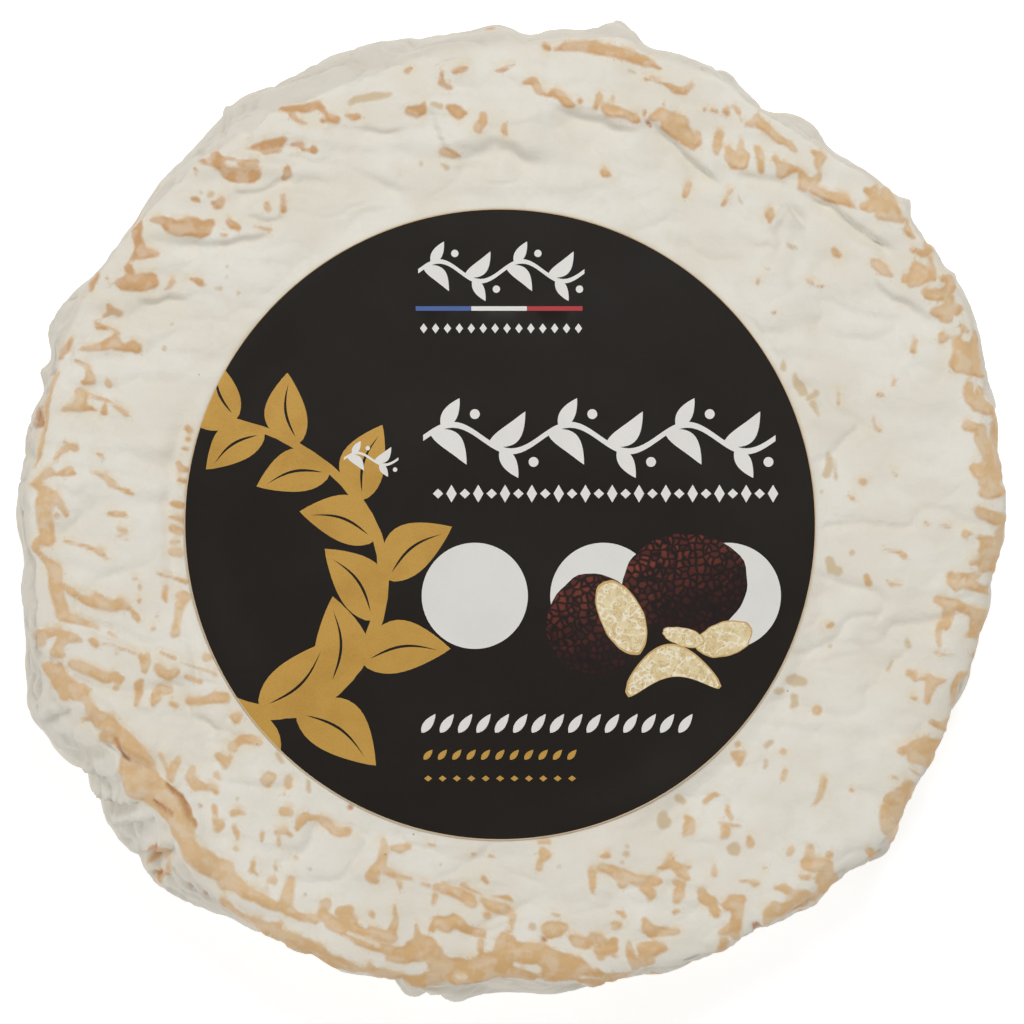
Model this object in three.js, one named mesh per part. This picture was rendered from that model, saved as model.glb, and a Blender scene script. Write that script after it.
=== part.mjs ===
// A whole soft white-rind cheese wheel with a round paper label lying on its top face.
// Millimetres, +Z up. The origin is under the middle of the wheel, on the surface it stands on.
// The cheese is one solid: a turned profile whose every column is stretched to a hand-made,
// slumped outline, so the wheel keeps its uneven rim, its bulging side and its flat foot.
import * as THREE from "three";

// Driving dimensions.
const WHEEL_HEIGHT = 35;
const TOP_RIM_DROP = 4; // how far the rim lies below the top face
const FOOT_INSET = 7; // from the widest line in to the edge of the flat foot
const LABEL_RADIUS = 63.7;
const LABEL_THICKNESS = 0.3;
const LABEL_GAP = 0.3; // keeps the paper clear of the cheese
const LABEL_CENTRE = { x: -2.1, y: -2.6 };
const SEAT_RADIUS = 68; // the level part of the top face, which the label lies on
const COLUMNS = 120;
const LABEL_SIDES = 90;

// The outline, anticlockwise from +X: [degrees, radius of the widest line, radius of the top rim].
// Where the two radii are close the side falls straight down; where they differ it slumps outwards.
const OUTLINE = [
  [0, 99.6, 99.1],
  [10, 99.7, 99.2],
  [26, 101.6, 100.9],
  [38, 100.9, 100.1],
  [49, 98.3, 96.6],
  [57, 97.6, 94.8],
  [65, 98.9, 96.6],
  [77, 100.0, 96.7],
  [87, 96.9, 94.2],
  [98, 97.3, 91.6],
  [112, 98.9, 91.8],
  [124, 99.2, 92.2],
  [137, 97.3, 94.2],
  [148, 97.2, 96.2],
  [158, 99.6, 97.0],
  [168, 99.2, 97.0],
  [180, 99.8, 96.7],
  [190, 100.4, 97.0],
  [203, 105.2, 96.6],
  [212, 101.6, 93.2],
  [220, 103.0, 91.8],
  [228, 102.8, 94.8],
  [239, 98.4, 97.4],
  [250, 98.0, 97.3],
  [261, 99.0, 96.0],
  [270, 96.9, 94.7],
  [280, 97.4, 96.2],
  [292, 98.1, 97.5],
  [301, 97.8, 97.0],
  [309, 100.6, 98.5],
  [317, 102.0, 101.1],
  [326, 99.4, 98.8],
  [336, 97.9, 97.4],
  [348, 98.1, 97.6],
];

// Broad swells (+) and hollows (-) of the top face between the label and the rim:
// [degrees, radius, half-length along the rim, half-width across it, height].
const SWELLS = [
  [48, 88, 24, 5, 1.0],
  [48, 80, 20, 4, -0.8],
  [84, 76, 14, 5, -1.4],
  [90, 84, 24, 5, 0.9],
  [128, 84, 22, 7, 0.9],
  [145, 74, 14, 5, -0.7],
  [180, 86, 30, 7, 0.6],
  [218, 84, 16, 6, 0.9],
  [262, 86, 30, 6, 0.7],
  [312, 80, 26, 7, -0.7],
  [345, 90, 30, 6, 0.6],
];

// The side and the foot, from the middle of the underside up to the rim: [reach, height].
// A reach of 0 is the axis, 1 the edge of the foot, 2 the widest line and 3 the rim.
const SIDE_PROFILE = [
  [0, 0],
  [0.4, 0],
  [0.75, 0],
  [1, 0],
  [1.45, 2],
  [1.8, 5.5],
  [1.96, 9.5],
  [2, 14],
  [2.2, 19.5],
  [2.55, 25],
  [2.85, 29],
];

// The top face, inwards from the rim: [distance in from the rim, drop below the top].
const RIM_PROFILE = [
  [0, TOP_RIM_DROP],
  [1.6, 2.2],
  [4.5, 0.8],
  [9, 0],
];
// Shares of the way from the last rim point in to the level seat, then shares of the seat itself.
const SHOULDER_STEPS = [0.25, 0.5, 0.75];
const SEAT_STEPS = [1, 0.5, 0];

const radians = THREE.MathUtils.degToRad;
const lerp = THREE.MathUtils.lerp;

// The slope of a column of OUTLINE at row i, from its neighbours on either side.
function slopeAt(i, column) {
  const n = OUTLINE.length;
  const before = OUTLINE[(i + n - 1) % n];
  const after = OUTLINE[(i + 1) % n];
  const span = (after[0] - before[0] + 360) % 360;
  return (after[column] - before[column]) / span;
}

// A column of OUTLINE at any angle, by a smooth curve through its rows that closes on itself.
function outlineRadius(degrees, column) {
  const n = OUTLINE.length;
  let i = n - 1;
  while (i > 0 && OUTLINE[i][0] > degrees) i -= 1;
  const j = (i + 1) % n;
  const span = (OUTLINE[j][0] - OUTLINE[i][0] + 360) % 360;
  const t = (degrees - OUTLINE[i][0]) / span;
  const from = OUTLINE[i][column];
  const to = OUTLINE[j][column];
  const leaving = slopeAt(i, column) * span;
  const arriving = slopeAt(j, column) * span;
  const bend = 3 * (to - from) - 2 * leaving - arriving;
  const twist = 2 * (from - to) + leaving + arriving;
  return from + t * (leaving + t * (bend + t * twist));
}

// How much the swells raise or lower the top face at a point, in millimetres.
function swellHeight(degrees, radius) {
  let height = 0;
  for (const [angle, at, halfLength, halfWidth, rise] of SWELLS) {
    const turn = ((degrees - angle + 540) % 360) - 180;
    const along = (radians(turn) * at) / halfLength;
    const across = (radius - at) / halfWidth;
    height += rise * Math.exp(-(along * along + across * across));
  }
  return height;
}

// The profile's points in one column: {radius, height}, from the underside's middle to the top's.
function columnPoints(degrees) {
  const belly = outlineRadius(degrees, 1);
  const rim = outlineRadius(degrees, 2);
  const reaches = [0, belly - FOOT_INSET, belly, rim];
  const side = SIDE_PROFILE.map(([reach, height]) => {
    const step = Math.min(Math.floor(reach), 2);
    return { radius: lerp(reaches[step], reaches[step + 1], reach - step), height };
  });
  const edge = RIM_PROFILE.map(([inset, drop]) => ({
    radius: rim - inset,
    height: WHEEL_HEIGHT - drop,
  }));
  const shoulderEdge = edge[edge.length - 1].radius;
  const shoulder = SHOULDER_STEPS.map((share) => {
    const radius = lerp(shoulderEdge, SEAT_RADIUS, share);
    return { radius, height: WHEEL_HEIGHT + swellHeight(degrees, radius) };
  });
  const seat = SEAT_STEPS.map((share) => ({
    radius: SEAT_RADIUS * share,
    height: WHEEL_HEIGHT,
  }));
  return [...side, ...edge, ...shoulder, ...seat];
}

// A turned blank with one point per row of the profile, then every column moved to its own points.
function cheeseGeometry() {
  const rows = columnPoints(0).length;
  const blank = Array.from({ length: rows }, (_, row) => {
    const onAxis = row === 0 || row === rows - 1;
    return new THREE.Vector2(onAxis ? 0 : 1, row);
  });
  const geometry = new THREE.LatheGeometry(blank, COLUMNS);
  const position = geometry.getAttribute("position");
  for (let column = 0; column <= COLUMNS; column += 1) {
    const degrees = (360 * (column % COLUMNS)) / COLUMNS;
    const turn = radians(degrees);
    columnPoints(degrees).forEach(({ radius, height }, row) => {
      const x = radius * Math.cos(turn);
      const y = radius * Math.sin(turn);
      position.setXYZ(column * rows + row, x, y, height);
    });
  }
  geometry.deleteAttribute("normal");
  geometry.deleteAttribute("uv");
  return geometry;
}

function cheeseMesh() {
  const rind = new THREE.MeshStandardMaterial({
    color: 0xe3dfd3,
    roughness: 0.65,
    metalness: 0,
  });
  const mesh = new THREE.Mesh(cheeseGeometry(), rind);
  mesh.name = "cheese_wheel";
  return mesh;
}

function labelMesh() {
  const paper = new THREE.MeshStandardMaterial({
    color: 0x2b2522,
    roughness: 0.4,
    metalness: 0,
  });
  const disc = new THREE.CylinderGeometry(
    LABEL_RADIUS,
    LABEL_RADIUS,
    LABEL_THICKNESS,
    LABEL_SIDES,
  );
  disc.rotateX(Math.PI / 2);
  const mesh = new THREE.Mesh(disc, paper);
  mesh.name = "top_label";
  const middle = WHEEL_HEIGHT + LABEL_GAP + LABEL_THICKNESS / 2;
  mesh.position.set(LABEL_CENTRE.x, LABEL_CENTRE.y, middle);
  return mesh;
}

// The cheese and its label, moved together so that the box is centred on Z and stands on Z = 0.
function centredWheel() {
  const wheel = new THREE.Group();
  wheel.name = "white_rind_cheese_wheel";
  wheel.add(cheeseMesh(), labelMesh());
  const box = new THREE.Box3().setFromObject(wheel, true);
  const middle = box.getCenter(new THREE.Vector3());
  wheel.position.set(-middle.x, -middle.y, -box.min.z);
  return wheel;
}

export default centredWheel();
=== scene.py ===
"""A soft white-rind cheese wheel with a round printed label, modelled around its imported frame.

Lengths in this script are millimetres until the meshes are written, which are in metres.
The wheel's plan is seen from above with +X to the right and +Y up, and the origin is under its middle.
"""

import math

import bpy
import numpy as np
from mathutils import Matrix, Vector
from mathutils.geometry import delaunay_2d_cdt


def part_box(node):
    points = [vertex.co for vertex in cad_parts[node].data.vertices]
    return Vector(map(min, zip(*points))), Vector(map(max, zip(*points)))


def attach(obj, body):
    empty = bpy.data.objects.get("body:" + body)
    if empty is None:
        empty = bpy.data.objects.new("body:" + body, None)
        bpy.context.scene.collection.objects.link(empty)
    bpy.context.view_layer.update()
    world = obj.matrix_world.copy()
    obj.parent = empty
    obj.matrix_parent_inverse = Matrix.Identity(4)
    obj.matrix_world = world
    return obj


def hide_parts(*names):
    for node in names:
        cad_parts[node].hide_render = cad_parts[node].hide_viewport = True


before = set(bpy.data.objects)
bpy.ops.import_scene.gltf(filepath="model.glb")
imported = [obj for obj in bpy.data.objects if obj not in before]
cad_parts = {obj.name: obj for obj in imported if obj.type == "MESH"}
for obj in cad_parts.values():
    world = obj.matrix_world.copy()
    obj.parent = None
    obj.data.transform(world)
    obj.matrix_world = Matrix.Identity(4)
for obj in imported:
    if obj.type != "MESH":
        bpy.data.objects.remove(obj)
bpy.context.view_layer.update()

MM = 0.001
TAU = 2 * math.pi

# ---------------------------------------------------------------- sizes, taken from the frame

LABEL_LOW, LABEL_HIGH = (np.array(corner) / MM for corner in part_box("top_label"))
LABEL_CENTRE = (LABEL_LOW[:2] + LABEL_HIGH[:2]) / 2
LABEL_RADIUS = (LABEL_HIGH[0] - LABEL_LOW[0]) / 2
LABEL_GAP = 0.3  # keeps the label clear of the cheese
TOP = LABEL_LOW[2] - LABEL_GAP  # the level top face

# The outline's own middle lies a little off the origin, because its box is what is centred there.
PLAN_SHIFT = np.array([0.1, 0.1])

BELLY_HEIGHT = 14.0  # where the side bulges most
FOOT_INSET = 7.0  # from the widest line in to the edge of the flat foot

# The outline, anticlockwise from +X: degrees, radius of the widest line, radius of the top rim.
OUTLINE = [
    (0, 99.8, 99.2), (5, 99.0, 98.7), (12, 100.0, 99.6), (18, 99.6, 99.3), (21, 101.2, 100.6),
    (26, 101.9, 101.3), (28, 101.5, 100.9), (30, 100.8, 100.4), (36, 100.5, 100.0), (38, 101.5, 100.2),
    (40, 100.7, 99.8), (44, 99.6, 98.8), (49, 98.6, 96.6), (51, 99.6, 95.8), (55, 99.2, 95.4),
    (57, 96.9, 95.3), (60, 97.1, 95.9), (63, 99.0, 96.4), (69, 98.6, 96.1), (74, 98.0, 96.1),
    (77.5, 100.9, 96.2), (80, 99.1, 95.8), (84, 97.9, 95.0), (88, 96.6, 93.8), (91, 97.9, 93.0),
    (95, 97.0, 92.3), (100, 97.4, 91.8), (105, 98.6, 91.6), (112, 98.9, 91.8), (116, 98.2, 92.0),
    (120, 98.8, 92.0), (123.5, 99.6, 91.8), (127, 99.0, 92.4), (131, 97.7, 93.8), (138, 97.4, 94.8),
    (144, 97.0, 95.8), (150, 97.4, 96.5), (154, 99.2, 96.8), (158, 100.2, 96.9), (162, 98.1, 97.0),
    (163.5, 98.9, 97.1), (165, 98.2, 97.1), (169.5, 99.5, 97.1), (174, 99.0, 96.8), (180, 100.0, 96.6),
    (186, 99.4, 97.0), (190, 101.0, 97.1), (195, 102.8, 97.4), (199, 104.9, 96.8), (203, 106.4, 95.6),
    (207, 104.7, 94.0), (211.5, 101.7, 93.2), (215, 101.5, 93.2), (220, 103.1, 92.0), (222.5, 102.7, 92.4),
    (226, 103.3, 94.2), (230, 102.2, 96.0), (235, 99.9, 97.2), (240, 98.3, 97.6), (247, 97.9, 97.5),
    (251, 98.5, 97.6), (256, 97.6, 97.1), (258, 99.3, 96.7), (260.5, 98.7, 96.2), (263.5, 99.3, 95.8),
    (267, 97.3, 95.2), (270.5, 96.6, 94.9), (275, 97.4, 95.8), (283, 97.1, 96.5), (290, 97.6, 96.5),
    (294, 97.8, 97.1), (299, 97.4, 97.0), (303, 98.2, 97.8), (306, 99.3, 98.0), (308, 100.4, 98.2),
    (311, 99.4, 98.4), (314, 100.0, 99.3), (317.5, 101.6, 100.5), (321, 100.0, 99.4), (324, 98.9, 98.5),
    (327, 98.9, 98.2), (331, 97.6, 97.2), (335, 97.2, 96.8), (340, 97.9, 97.3), (343.5, 97.4, 97.0),
    (350, 97.9, 97.4), (353, 98.1, 97.7), (357, 99.7, 98.9),
]

# Small lumps and flakes on the widest line: degrees, height, half-width in degrees.
FLAKES = [(28, 0.5, 0.5), (38, 1.0, 0.6), (77.5, 0.8, 2.2), (125.3, 0.8, 0.5), (163.3, 0.6, 0.8)]

# ---------------------------------------------------------------- where the white bloom is worn off

# Each stroke is a run of discs with rounded sides between them: (x, y, radius).
WORN_LEFT = [
    [(-65.2, 16.8, .6), (-64.6, 16.2, .7)], [(-65, 14.5, .6)], [(-65.9, 12.7, .5), (-65.2, 12.6, .5)],
    [(-66.9, 9.6, .6), (-66.3, 8.6, .8), (-64.9, 8.2, .6)], [(-66.7, 6.4, .5), (-65.6, 6, .6)],
    [(-68.3, 1.7, .5), (-67.2, 1.4, .7), (-66, 1.1, .7)],
    [(-68.6, -1, .4), (-67.3, -1.3, .6), (-66, -1.6, .7)], [(-68.2, -3.2, .7), (-66.8, -3.8, 1)],
    [(-68.2, -6.2, .6), (-66.9, -6, .5)], [(-68.2, -8, .8), (-66.6, -8.2, .9)],
    [(-71, -12.2, .3), (-69, -13, .35), (-66.8, -13.8, .4), (-65.3, -14.3, .5)],
    [(-67, -16.9, .7), (-65.6, -17.4, .9)], [(-69.6, -15.3, .5), (-69.9, -17, .6), (-69.5, -18, .3)],
    [(-92, 28, .5), (-93, 25.5, .6), (-94.2, 21, .6), (-94.7, 16, .5), (-95.2, 12, .5), (-96, 9, .25)],
    [(-87.3, 24, .7), (-86, 23.5, .9), (-86.7, 22, 1.4), (-87.2, 21, 1)],
    [(-90.5, 20.6, .4), (-88, 21, 1), (-85.5, 21, .7), (-83.8, 20.5, .25)],
    [(-85.5, 23.8, .4), (-83.5, 22.9, .35), (-81.3, 22.5, .3), (-80, 21.6, .3), (-78.8, 20.8, .5),
     (-77.6, 19.8, .6), (-76.8, 18.9, .15)],
    [(-82, 21.5, .4), (-82, 20.2, .95)], [(-90, 14, .3), (-89, 13.2, .7), (-87.9, 12.9, .9)],
    [(-89.5, 12.9, .7), (-91.2, 11.6, .55), (-91.6, 10.2, .35)],
    [(-83, 11.6, .35), (-82.4, 11.2, .5), (-81.9, 10.7, .2)],
    [(-95.9, 5.5, .6), (-94.2, 7.3, .8), (-93, 8, .9), (-91.5, 7.5, .25), (-90, 7.8, .8), (-88.8, 8.2, 1),
     (-87.9, 7.8, .5)],
    [(-95.9, 5.5, .7), (-94, 4, 1), (-92.5, 3.2, 1.4), (-91.2, 2.2, 1), (-90, .5, .6), (-89.4, -.8, .4)],
    [(-93.8, 2, 1.6), (-93.6, -4, 1.7), (-93, -6, 1.3), (-95, -6, .9), (-95.9, -7.5, .7),
     (-93.8, -9.6, .6)],
    [(-94.5, -9.3, .5), (-93, -10.5, 1), (-91.8, -12, 1.6), (-91.3, -16.5, 1.4), (-90.2, -21.2, 1.3),
     (-88, -22, .8), (-86, -22.3, .8), (-84.5, -22.8, .6), (-83, -23.7, .2)],
    [(-89.8, -14.6, .4), (-88.5, -16, .9), (-87, -17.2, .6), (-85, -18.2, .9), (-83, -18.2, 1.6),
     (-81, -19.2, 1.1), (-79, -18.8, 1.3), (-77.5, -19.3, .6), (-76.5, -19.8, .5), (-75.7, -21, .7),
     (-75, -21.8, .5)],
    [(-83.5, -17, .8)],
    [(-90, -5.8, .3), (-87.5, -6.4, .3), (-84.5, -7.6, .4), (-83.2, -8, .6), (-82.2, -8.6, .55),
     (-81, -9.7, .15)],
    [(-84.5, 8, .2), (-83, 7.6, .4), (-81.5, 6.9, .6), (-80.6, 5.7, .9), (-79.8, 5, .5), (-78.5, 4.5, .3),
     (-77, 4.1, .6), (-76.3, 3.8, .4)],
    [(-81, -.3, .4), (-79.5, -.3, .7), (-78, -.6, .6), (-77.2, -1.2, .2)],
    [(-78.8, -3.6, .5), (-77.6, -4, .6)], [(-79, -4.9, .1), (-77.2, -5.5, .12)],
    [(-67, -16.8, .6), (-65.5, -17, 1), (-66.5, -18.5, 1), (-67.2, -22.5, .7), (-67.5, -24.7, .9)],
    [(-76, -13.6, .3), (-75.2, -13.7, .25)], [(-74.6, -14.8, .4), (-74.6, -15.4, .4)], [(-74.9, -17.8, .5)],
    [(-71.2, -21, .35)], [(-71.8, -23.5, .5)], [(-81, -24.3, .2), (-79.3, -25.3, .2)],
]
WORN_UPPER_LEFT = [
    [(-75, 59, .6), (-75.3, 57, 1.2), (-75.3, 55, .9), (-74.8, 53.5, 1.1), (-74.3, 52, 1.4),
     (-71.3, 51.8, .5)],
    [(-75, 52, 1.2), (-76, 51, .5), (-76.8, 50, .3)],
    [(-72, 58.8, .6), (-70, 58.6, .9), (-69, 57.7, 1.5), (-67, 57.2, 1.7), (-65, 57.4, 2), (-63, 57, 1.9),
     (-61.8, 57, 1.8), (-60.4, 58, 1)],
    [(-62.5, 56.2, 1.2)], [(-57, 58.3, .6), (-56, 57.6, .9), (-54.8, 57.1, .7)],
    [(-58.2, 55.9, .3), (-57.3, 55.8, .3)], [(-51.5, 57.5, .15), (-50, 57.2, .25), (-48.3, 56.7, .35)],
    [(-64, 62.9, .5), (-63, 62.8, .6)], [(-59.8, 62.3, .5), (-59, 61.8, .9), (-58.3, 62.8, .6)],
    [(-48.9, 62.2, .5), (-48.8, 61, .7)], [(-45.8, 63.5, .5), (-45.8, 60.8, .6)],
    [(-77, 49, .9), (-76.5, 47.5, .9)],
    [(-79.3, 46.2, .8), (-78, 46, 1.5), (-76, 46, 1.7), (-74, 46.1, 1.8), (-72.5, 46.3, 1.7),
     (-72, 47.2, 1)],
    [(-81.2, 47.5, .2), (-80.8, 45.1, .15)], [(-68.2, 46.3, .7), (-68.7, 45.2, .5), (-69.5, 44.7, .25)],
    [(-64.5, 47, .15), (-63.5, 46.5, .6), (-62.6, 46, .8), (-61.5, 45.6, .15)],
    [(-83.5, 48, .5), (-84.6, 46.2, .6), (-85, 44.8, .4)], [(-87.5, 44, .3)],
    [(-81.2, 41.6, .4), (-80.6, 40.8, .7), (-78.7, 40, .7)], [(-82, 39.6, .4), (-80.6, 40.2, .5)],
    [(-83.6, 38.5, .4), (-83, 37.4, .7), (-82, 37, .5), (-80.5, 36.7, .25), (-78.8, 35.9, .2)],
    [(-86.8, 33, .4), (-85, 32.8, .5), (-83, 33.2, .8), (-81.3, 33.6, 1.1), (-79.7, 34.3, 1.2),
     (-79.6, 35.6, .5)],
    [(-79.5, 33.4, 1), (-77.5, 33.1, .8), (-76, 33.3, 1.2), (-75.2, 32.9, 1)],
    [(-89, 34.8, .5), (-90, 33.3, .7), (-91, 32, .5), (-91.6, 30.8, .3)],
    [(-88, 30.4, .4), (-86.5, 29.8, .5), (-85.3, 29.3, .5), (-84.8, 26.8, 1), (-84.2, 26.3, .7)],
    [(-86.3, 25.8, .5), (-85, 26.3, .9)], [(-81.4, 26.8, .3), (-81.2, 25.9, .6), (-80.8, 25.4, .6)],
    [(-46.5, 80.9, .3), (-44.5, 80.8, .7), (-42.5, 81, .9), (-40.5, 81.6, 1), (-38.8, 82, .9),
     (-38, 81.3, .7)],
    [(-44, 79.9, .6), (-43.2, 79, .5), (-42, 78.4, .5), (-41.2, 78.2, .2)],
    [(-37.8, 81, .5), (-37.2, 80, .6), (-36.5, 79.2, .8), (-35, 79, .8)], [(-38, 78.8, .6)],
    [(-33, 79.9, .4), (-31.8, 79.4, .7), (-30.6, 79.6, .5)],
    [(-52.8, 73, .25), (-51.5, 73.3, .7), (-50, 73.6, 1), (-46.9, 73.9, 1.1), (-45.5, 75, .5)],
    [(-50, 72.6, .5), (-47, 72.8, .6)],
    [(-44.2, 73.8, .3), (-42.2, 74, .6), (-41.8, 73, .4), (-41, 72.8, .3)], [(-39.7, 73, .9)],
    [(-59.3, 71.6, .9), (-58.9, 70.5, 1.3), (-59.5, 69.8, .8), (-58, 69, .9)],
    [(-57.2, 71, .3), (-55.5, 71, .25)],
    [(-57.3, 68.2, 1.1), (-56, 67.8, 1.5), (-52.3, 67.6, 1.5), (-51.3, 67.8, 1.2)],
    [(-55, 70.2, .3), (-53, 70.5, .5), (-51.2, 70.5, .5)], [(-54.2, 69.7, .6), (-51.5, 69.6, .6)],
    [(-62.3, 70, .2), (-61, 69.9, .5)], [(-63.2, 68.6, .3), (-63.2, 67.8, .2)],
    [(-45.2, 69, .7), (-45, 68, .8), (-45.8, 67.2, .5)],
]
WORN_TOP = [
    [(-21, 88.7, .5), (-20.2, 89.2, .3)], [(-4.2, 96.4, .5), (-3, 97.3, .5)],
    [(6.9, 93.7, .6), (7.7, 93.5, .6)],
    [(9.2, 93.2, .4), (11, 93.6, .9), (15, 93.3, 1), (17, 93.2, 1.2), (22, 92, 1.1), (26.5, 90.8, 1),
     (28, 90, .8), (30.3, 89, .3)],
    [(-11.3, 88.3, .5), (-9.3, 89, .5), (-8.5, 89.2, .3)],
    [(-13.5, 88.5, .2), (-14.2, 86.4, .6), (-13.2, 85.9, .5), (-12, 85.4, .5)],
    [(-3, 88.8, .2), (-1.8, 89, .5), (-.8, 89.4, .5), (.5, 90, .2)],
    [(-20.3, 80.8, 1), (-18.8, 80.6, 1.2), (-17.8, 80.8, 1.1), (-17.4, 82.3, .4)],
    [(-12.5, 81.3, .6), (-11.3, 80.8, 1.2), (-10.3, 80.4, 1.2), (-9.2, 80.4, .5)],
    [(-5.6, 79.5, .9), (-5.7, 78.5, 1), (-6.5, 77.2, 1), (-6.2, 76.8, .6)],
    [(-1.2, 78, .4), (-1.3, 76.8, .7), (-1.1, 76.2, .5)],
    [(-13.8, 72.3, .8), (-12.5, 72.2, 1), (-11.5, 71.8, .8), (-10.3, 71.4, .2)],
    [(2.8, 86.4, .4), (4.3, 86.8, .8), (5, 86, .8), (5.4, 85, .8), (6.2, 84.3, .5)],
    [(7.3, 84, .4), (8.7, 84.5, .9), (10, 83.9, .8), (10.8, 82.9, .9), (11.5, 82.1, 1), (12.3, 81.8, .6)],
    [(13.8, 82.8, .65)], [(17.9, 83.6, .8), (17.1, 81.4, .6)], [(20.6, 83.6, .4), (20.6, 82.9, .4)],
    [(19.4, 81.2, 1.1), (20, 80.6, 1.4), (21.5, 80.3, 1.2), (23.5, 79.8, .9), (24.8, 79, 1),
     (25.3, 78.8, .8)],
    [(19, 69, .4), (18.8, 68.4, .9), (19.4, 68.2, .8), (20.3, 67.8, .2)],
]
WORN_UPPER_RIGHT = [
    [(27.3, 87, .4), (28.5, 87.2, .4), (31, 86, .4), (32.5, 85.2, .7), (33.7, 84.7, .9), (35, 84.7, .8),
     (36, 85.5, .6), (36.5, 85.8, .4)],
    [(27, 80.4, .6), (26.8, 79.8, .4)],
    [(28.5, 79.3, .7), (30.3, 80.2, 1.2), (32, 79, 1.6), (34, 78, 1.9), (34.5, 76.5, 1.9), (36, 75, 1.6),
     (37.3, 74.6, 1.3), (37.8, 76, .7)],
    [(31, 77.5, .8), (33, 76.3, 1.2), (35, 74.8, 1), (36.8, 73.7, .7)], [(30.7, 82, .35), (30.9, 81.2, .3)],
    [(39.2, 81.1, .5)], [(40.7, 80.8, .5), (41.5, 80.7, .45)], [(43.3, 80.6, .7), (43.6, 80.2, .6)],
    [(43.8, 81.5, .2), (45, 81.5, .3), (45.7, 80.8, .5), (46, 80.3, .4)], [(46.6, 78.8, .4)],
    [(47.4, 78.1, .5), (48.8, 78.3, .7), (49.7, 79.6, .6), (50, 78.5, 1.2), (51.5, 77.5, 1),
     (53.5, 75.3, .9), (54.5, 74.8, 1), (55.8, 74.3, .7), (57.3, 72.9, .6)],
    [(42.2, 76.3, .8), (42, 75, .9), (41.7, 73.5, .9), (41.5, 72.3, .6)],
    [(43.7, 73.5, .5), (44.3, 72, 1.2)], [(46.5, 74.3, .6), (46.3, 73, .7)],
    [(44.2, 71.5, 1.2), (45.2, 70.2, 1.5), (46.5, 70, 1.4), (47.3, 71.5, 1)],
    [(46, 72, 1.2), (47.3, 71, .9)], [(49.8, 73.4, .6), (50.2, 72, .7), (50.5, 69, .7)],
    [(53.3, 71.2, .7), (54, 70.3, .7), (54.8, 69.3, 1.2), (54.6, 68.2, 1.1), (56, 69, 1.1), (57.3, 69, .7)],
    [(58.3, 68.4, .6), (59, 67, 1), (58.8, 65.6, .9), (59.3, 65.2, .7)],
    [(60, 66.3, .9), (61.3, 66.3, .9), (62, 67.3, .7), (62.3, 68.5, .5)],
    [(61.3, 72.3, .7), (62.3, 71.8, .9), (63, 71.6, .7), (62, 70.5, 1), (61.8, 69.8, .7)],
    [(61, 64.8, .8), (63, 64, 1), (64.5, 63.3, 1.2), (67.3, 62.9, 1.2), (68.5, 61.9, .7), (69.5, 61.4, .3)],
    [(36.2, 66, .5), (35.5, 64.8, .8), (35.2, 63.6, .5)], [(44.4, 64.8, .4), (43.7, 64, .4)],
    [(43.3, 62.8, .5), (42.8, 61.8, .4)], [(52.4, 60.7, .4), (52, 59.7, 1), (51.9, 58.5, .4)],
    [(71.7, 64.8, .7), (72.8, 64.2, 1.1), (73.5, 65, .8)],
    [(71, 61.5, .7), (72.3, 61.5, 1.2), (74, 62, 1.9), (75.5, 62.3, 2), (76.5, 61, 1.6), (77.5, 60.5, 1.2)],
    [(74.5, 60, 1.2), (76.5, 59.6, 1.1), (78.5, 58.8, .7), (79.7, 58.5, .6)], [(75.5, 64, 1)],
    [(79.8, 57, .9), (80.3, 56.2, .9), (81.2, 55.4, .5)],
    [(83.8, 53.8, .6), (84.2, 52.2, .8), (83, 51.8, .8), (81.3, 52.6, .6), (80.8, 52.8, .4)],
    [(84.8, 51, .5), (85.3, 49, .5), (85.2, 47, .5)],
    [(81.5, 50, .7), (82, 48.5, 1.8), (83.3, 47.8, 1.8), (81, 46.8, 1.6), (80.8, 45.7, .8)],
    [(79.5, 47, .9), (79.2, 46.5, .6)],
    [(87, 47, .7), (88.3, 46.8, 1), (88.7, 45.5, 1.2), (87.5, 44, 1.2), (86, 43.7, 1.3), (84.5, 43.8, 1.2),
     (83.7, 44.4, .8)],
    [(88.7, 43, 1), (88.5, 41.8, 1.1), (88.3, 40.5, 1.5), (86.5, 40.2, 1.3), (85.3, 40.3, .8)],
    [(87.5, 39, 1.2), (88.3, 38.5, .8)], [(90.5, 41.2, .7), (91.3, 41, .6), (90, 40.3, .9)],
    [(90.8, 37.5, .6), (91.8, 36.8, .5), (92.8, 36.2, .3)],
    [(91.3, 35.5, .8), (90.5, 33.5, 1.6), (91.5, 31.5, 2.5), (93, 30, 3), (95, 29.5, 2.5)],
    [(90.5, 29.7, 2)], [(94.2, 36, .8), (94.5, 34.5, 1.5), (94, 32, 2.5)],
    [(87, 35.4, .8), (86.8, 34.4, .6), (88.3, 35.3, .5), (89.3, 35.5, .3)],
    [(81.5, 34.5, .6), (81.3, 33.3, .45), (81.1, 32.4, .7)], [(77.4, 26.3, .3), (76.9, 25.6, .3)],
    [(74.2, 23.4, .4), (74.9, 23.4, .4)], [(66.2, 24, .3), (66.2, 21.8, .3)],
    [(73.2, 50.3, .8), (74, 49.6, 1.3), (75, 48.7, 1.2), (75.8, 48.2, .8), (76.9, 47.4, .3)],
    [(65.3, 52.7, .6), (65.6, 51.8, .7), (66.2, 51.5, .6)], [(59.8, 46.5, .3), (60.8, 45.9, .5)],
    [(61.8, 45.4, .2), (62.7, 45.2, .35)], [(50, 46.8, .4), (50, 46.2, .45)], [(53, 40.1, .35)],
]
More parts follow.
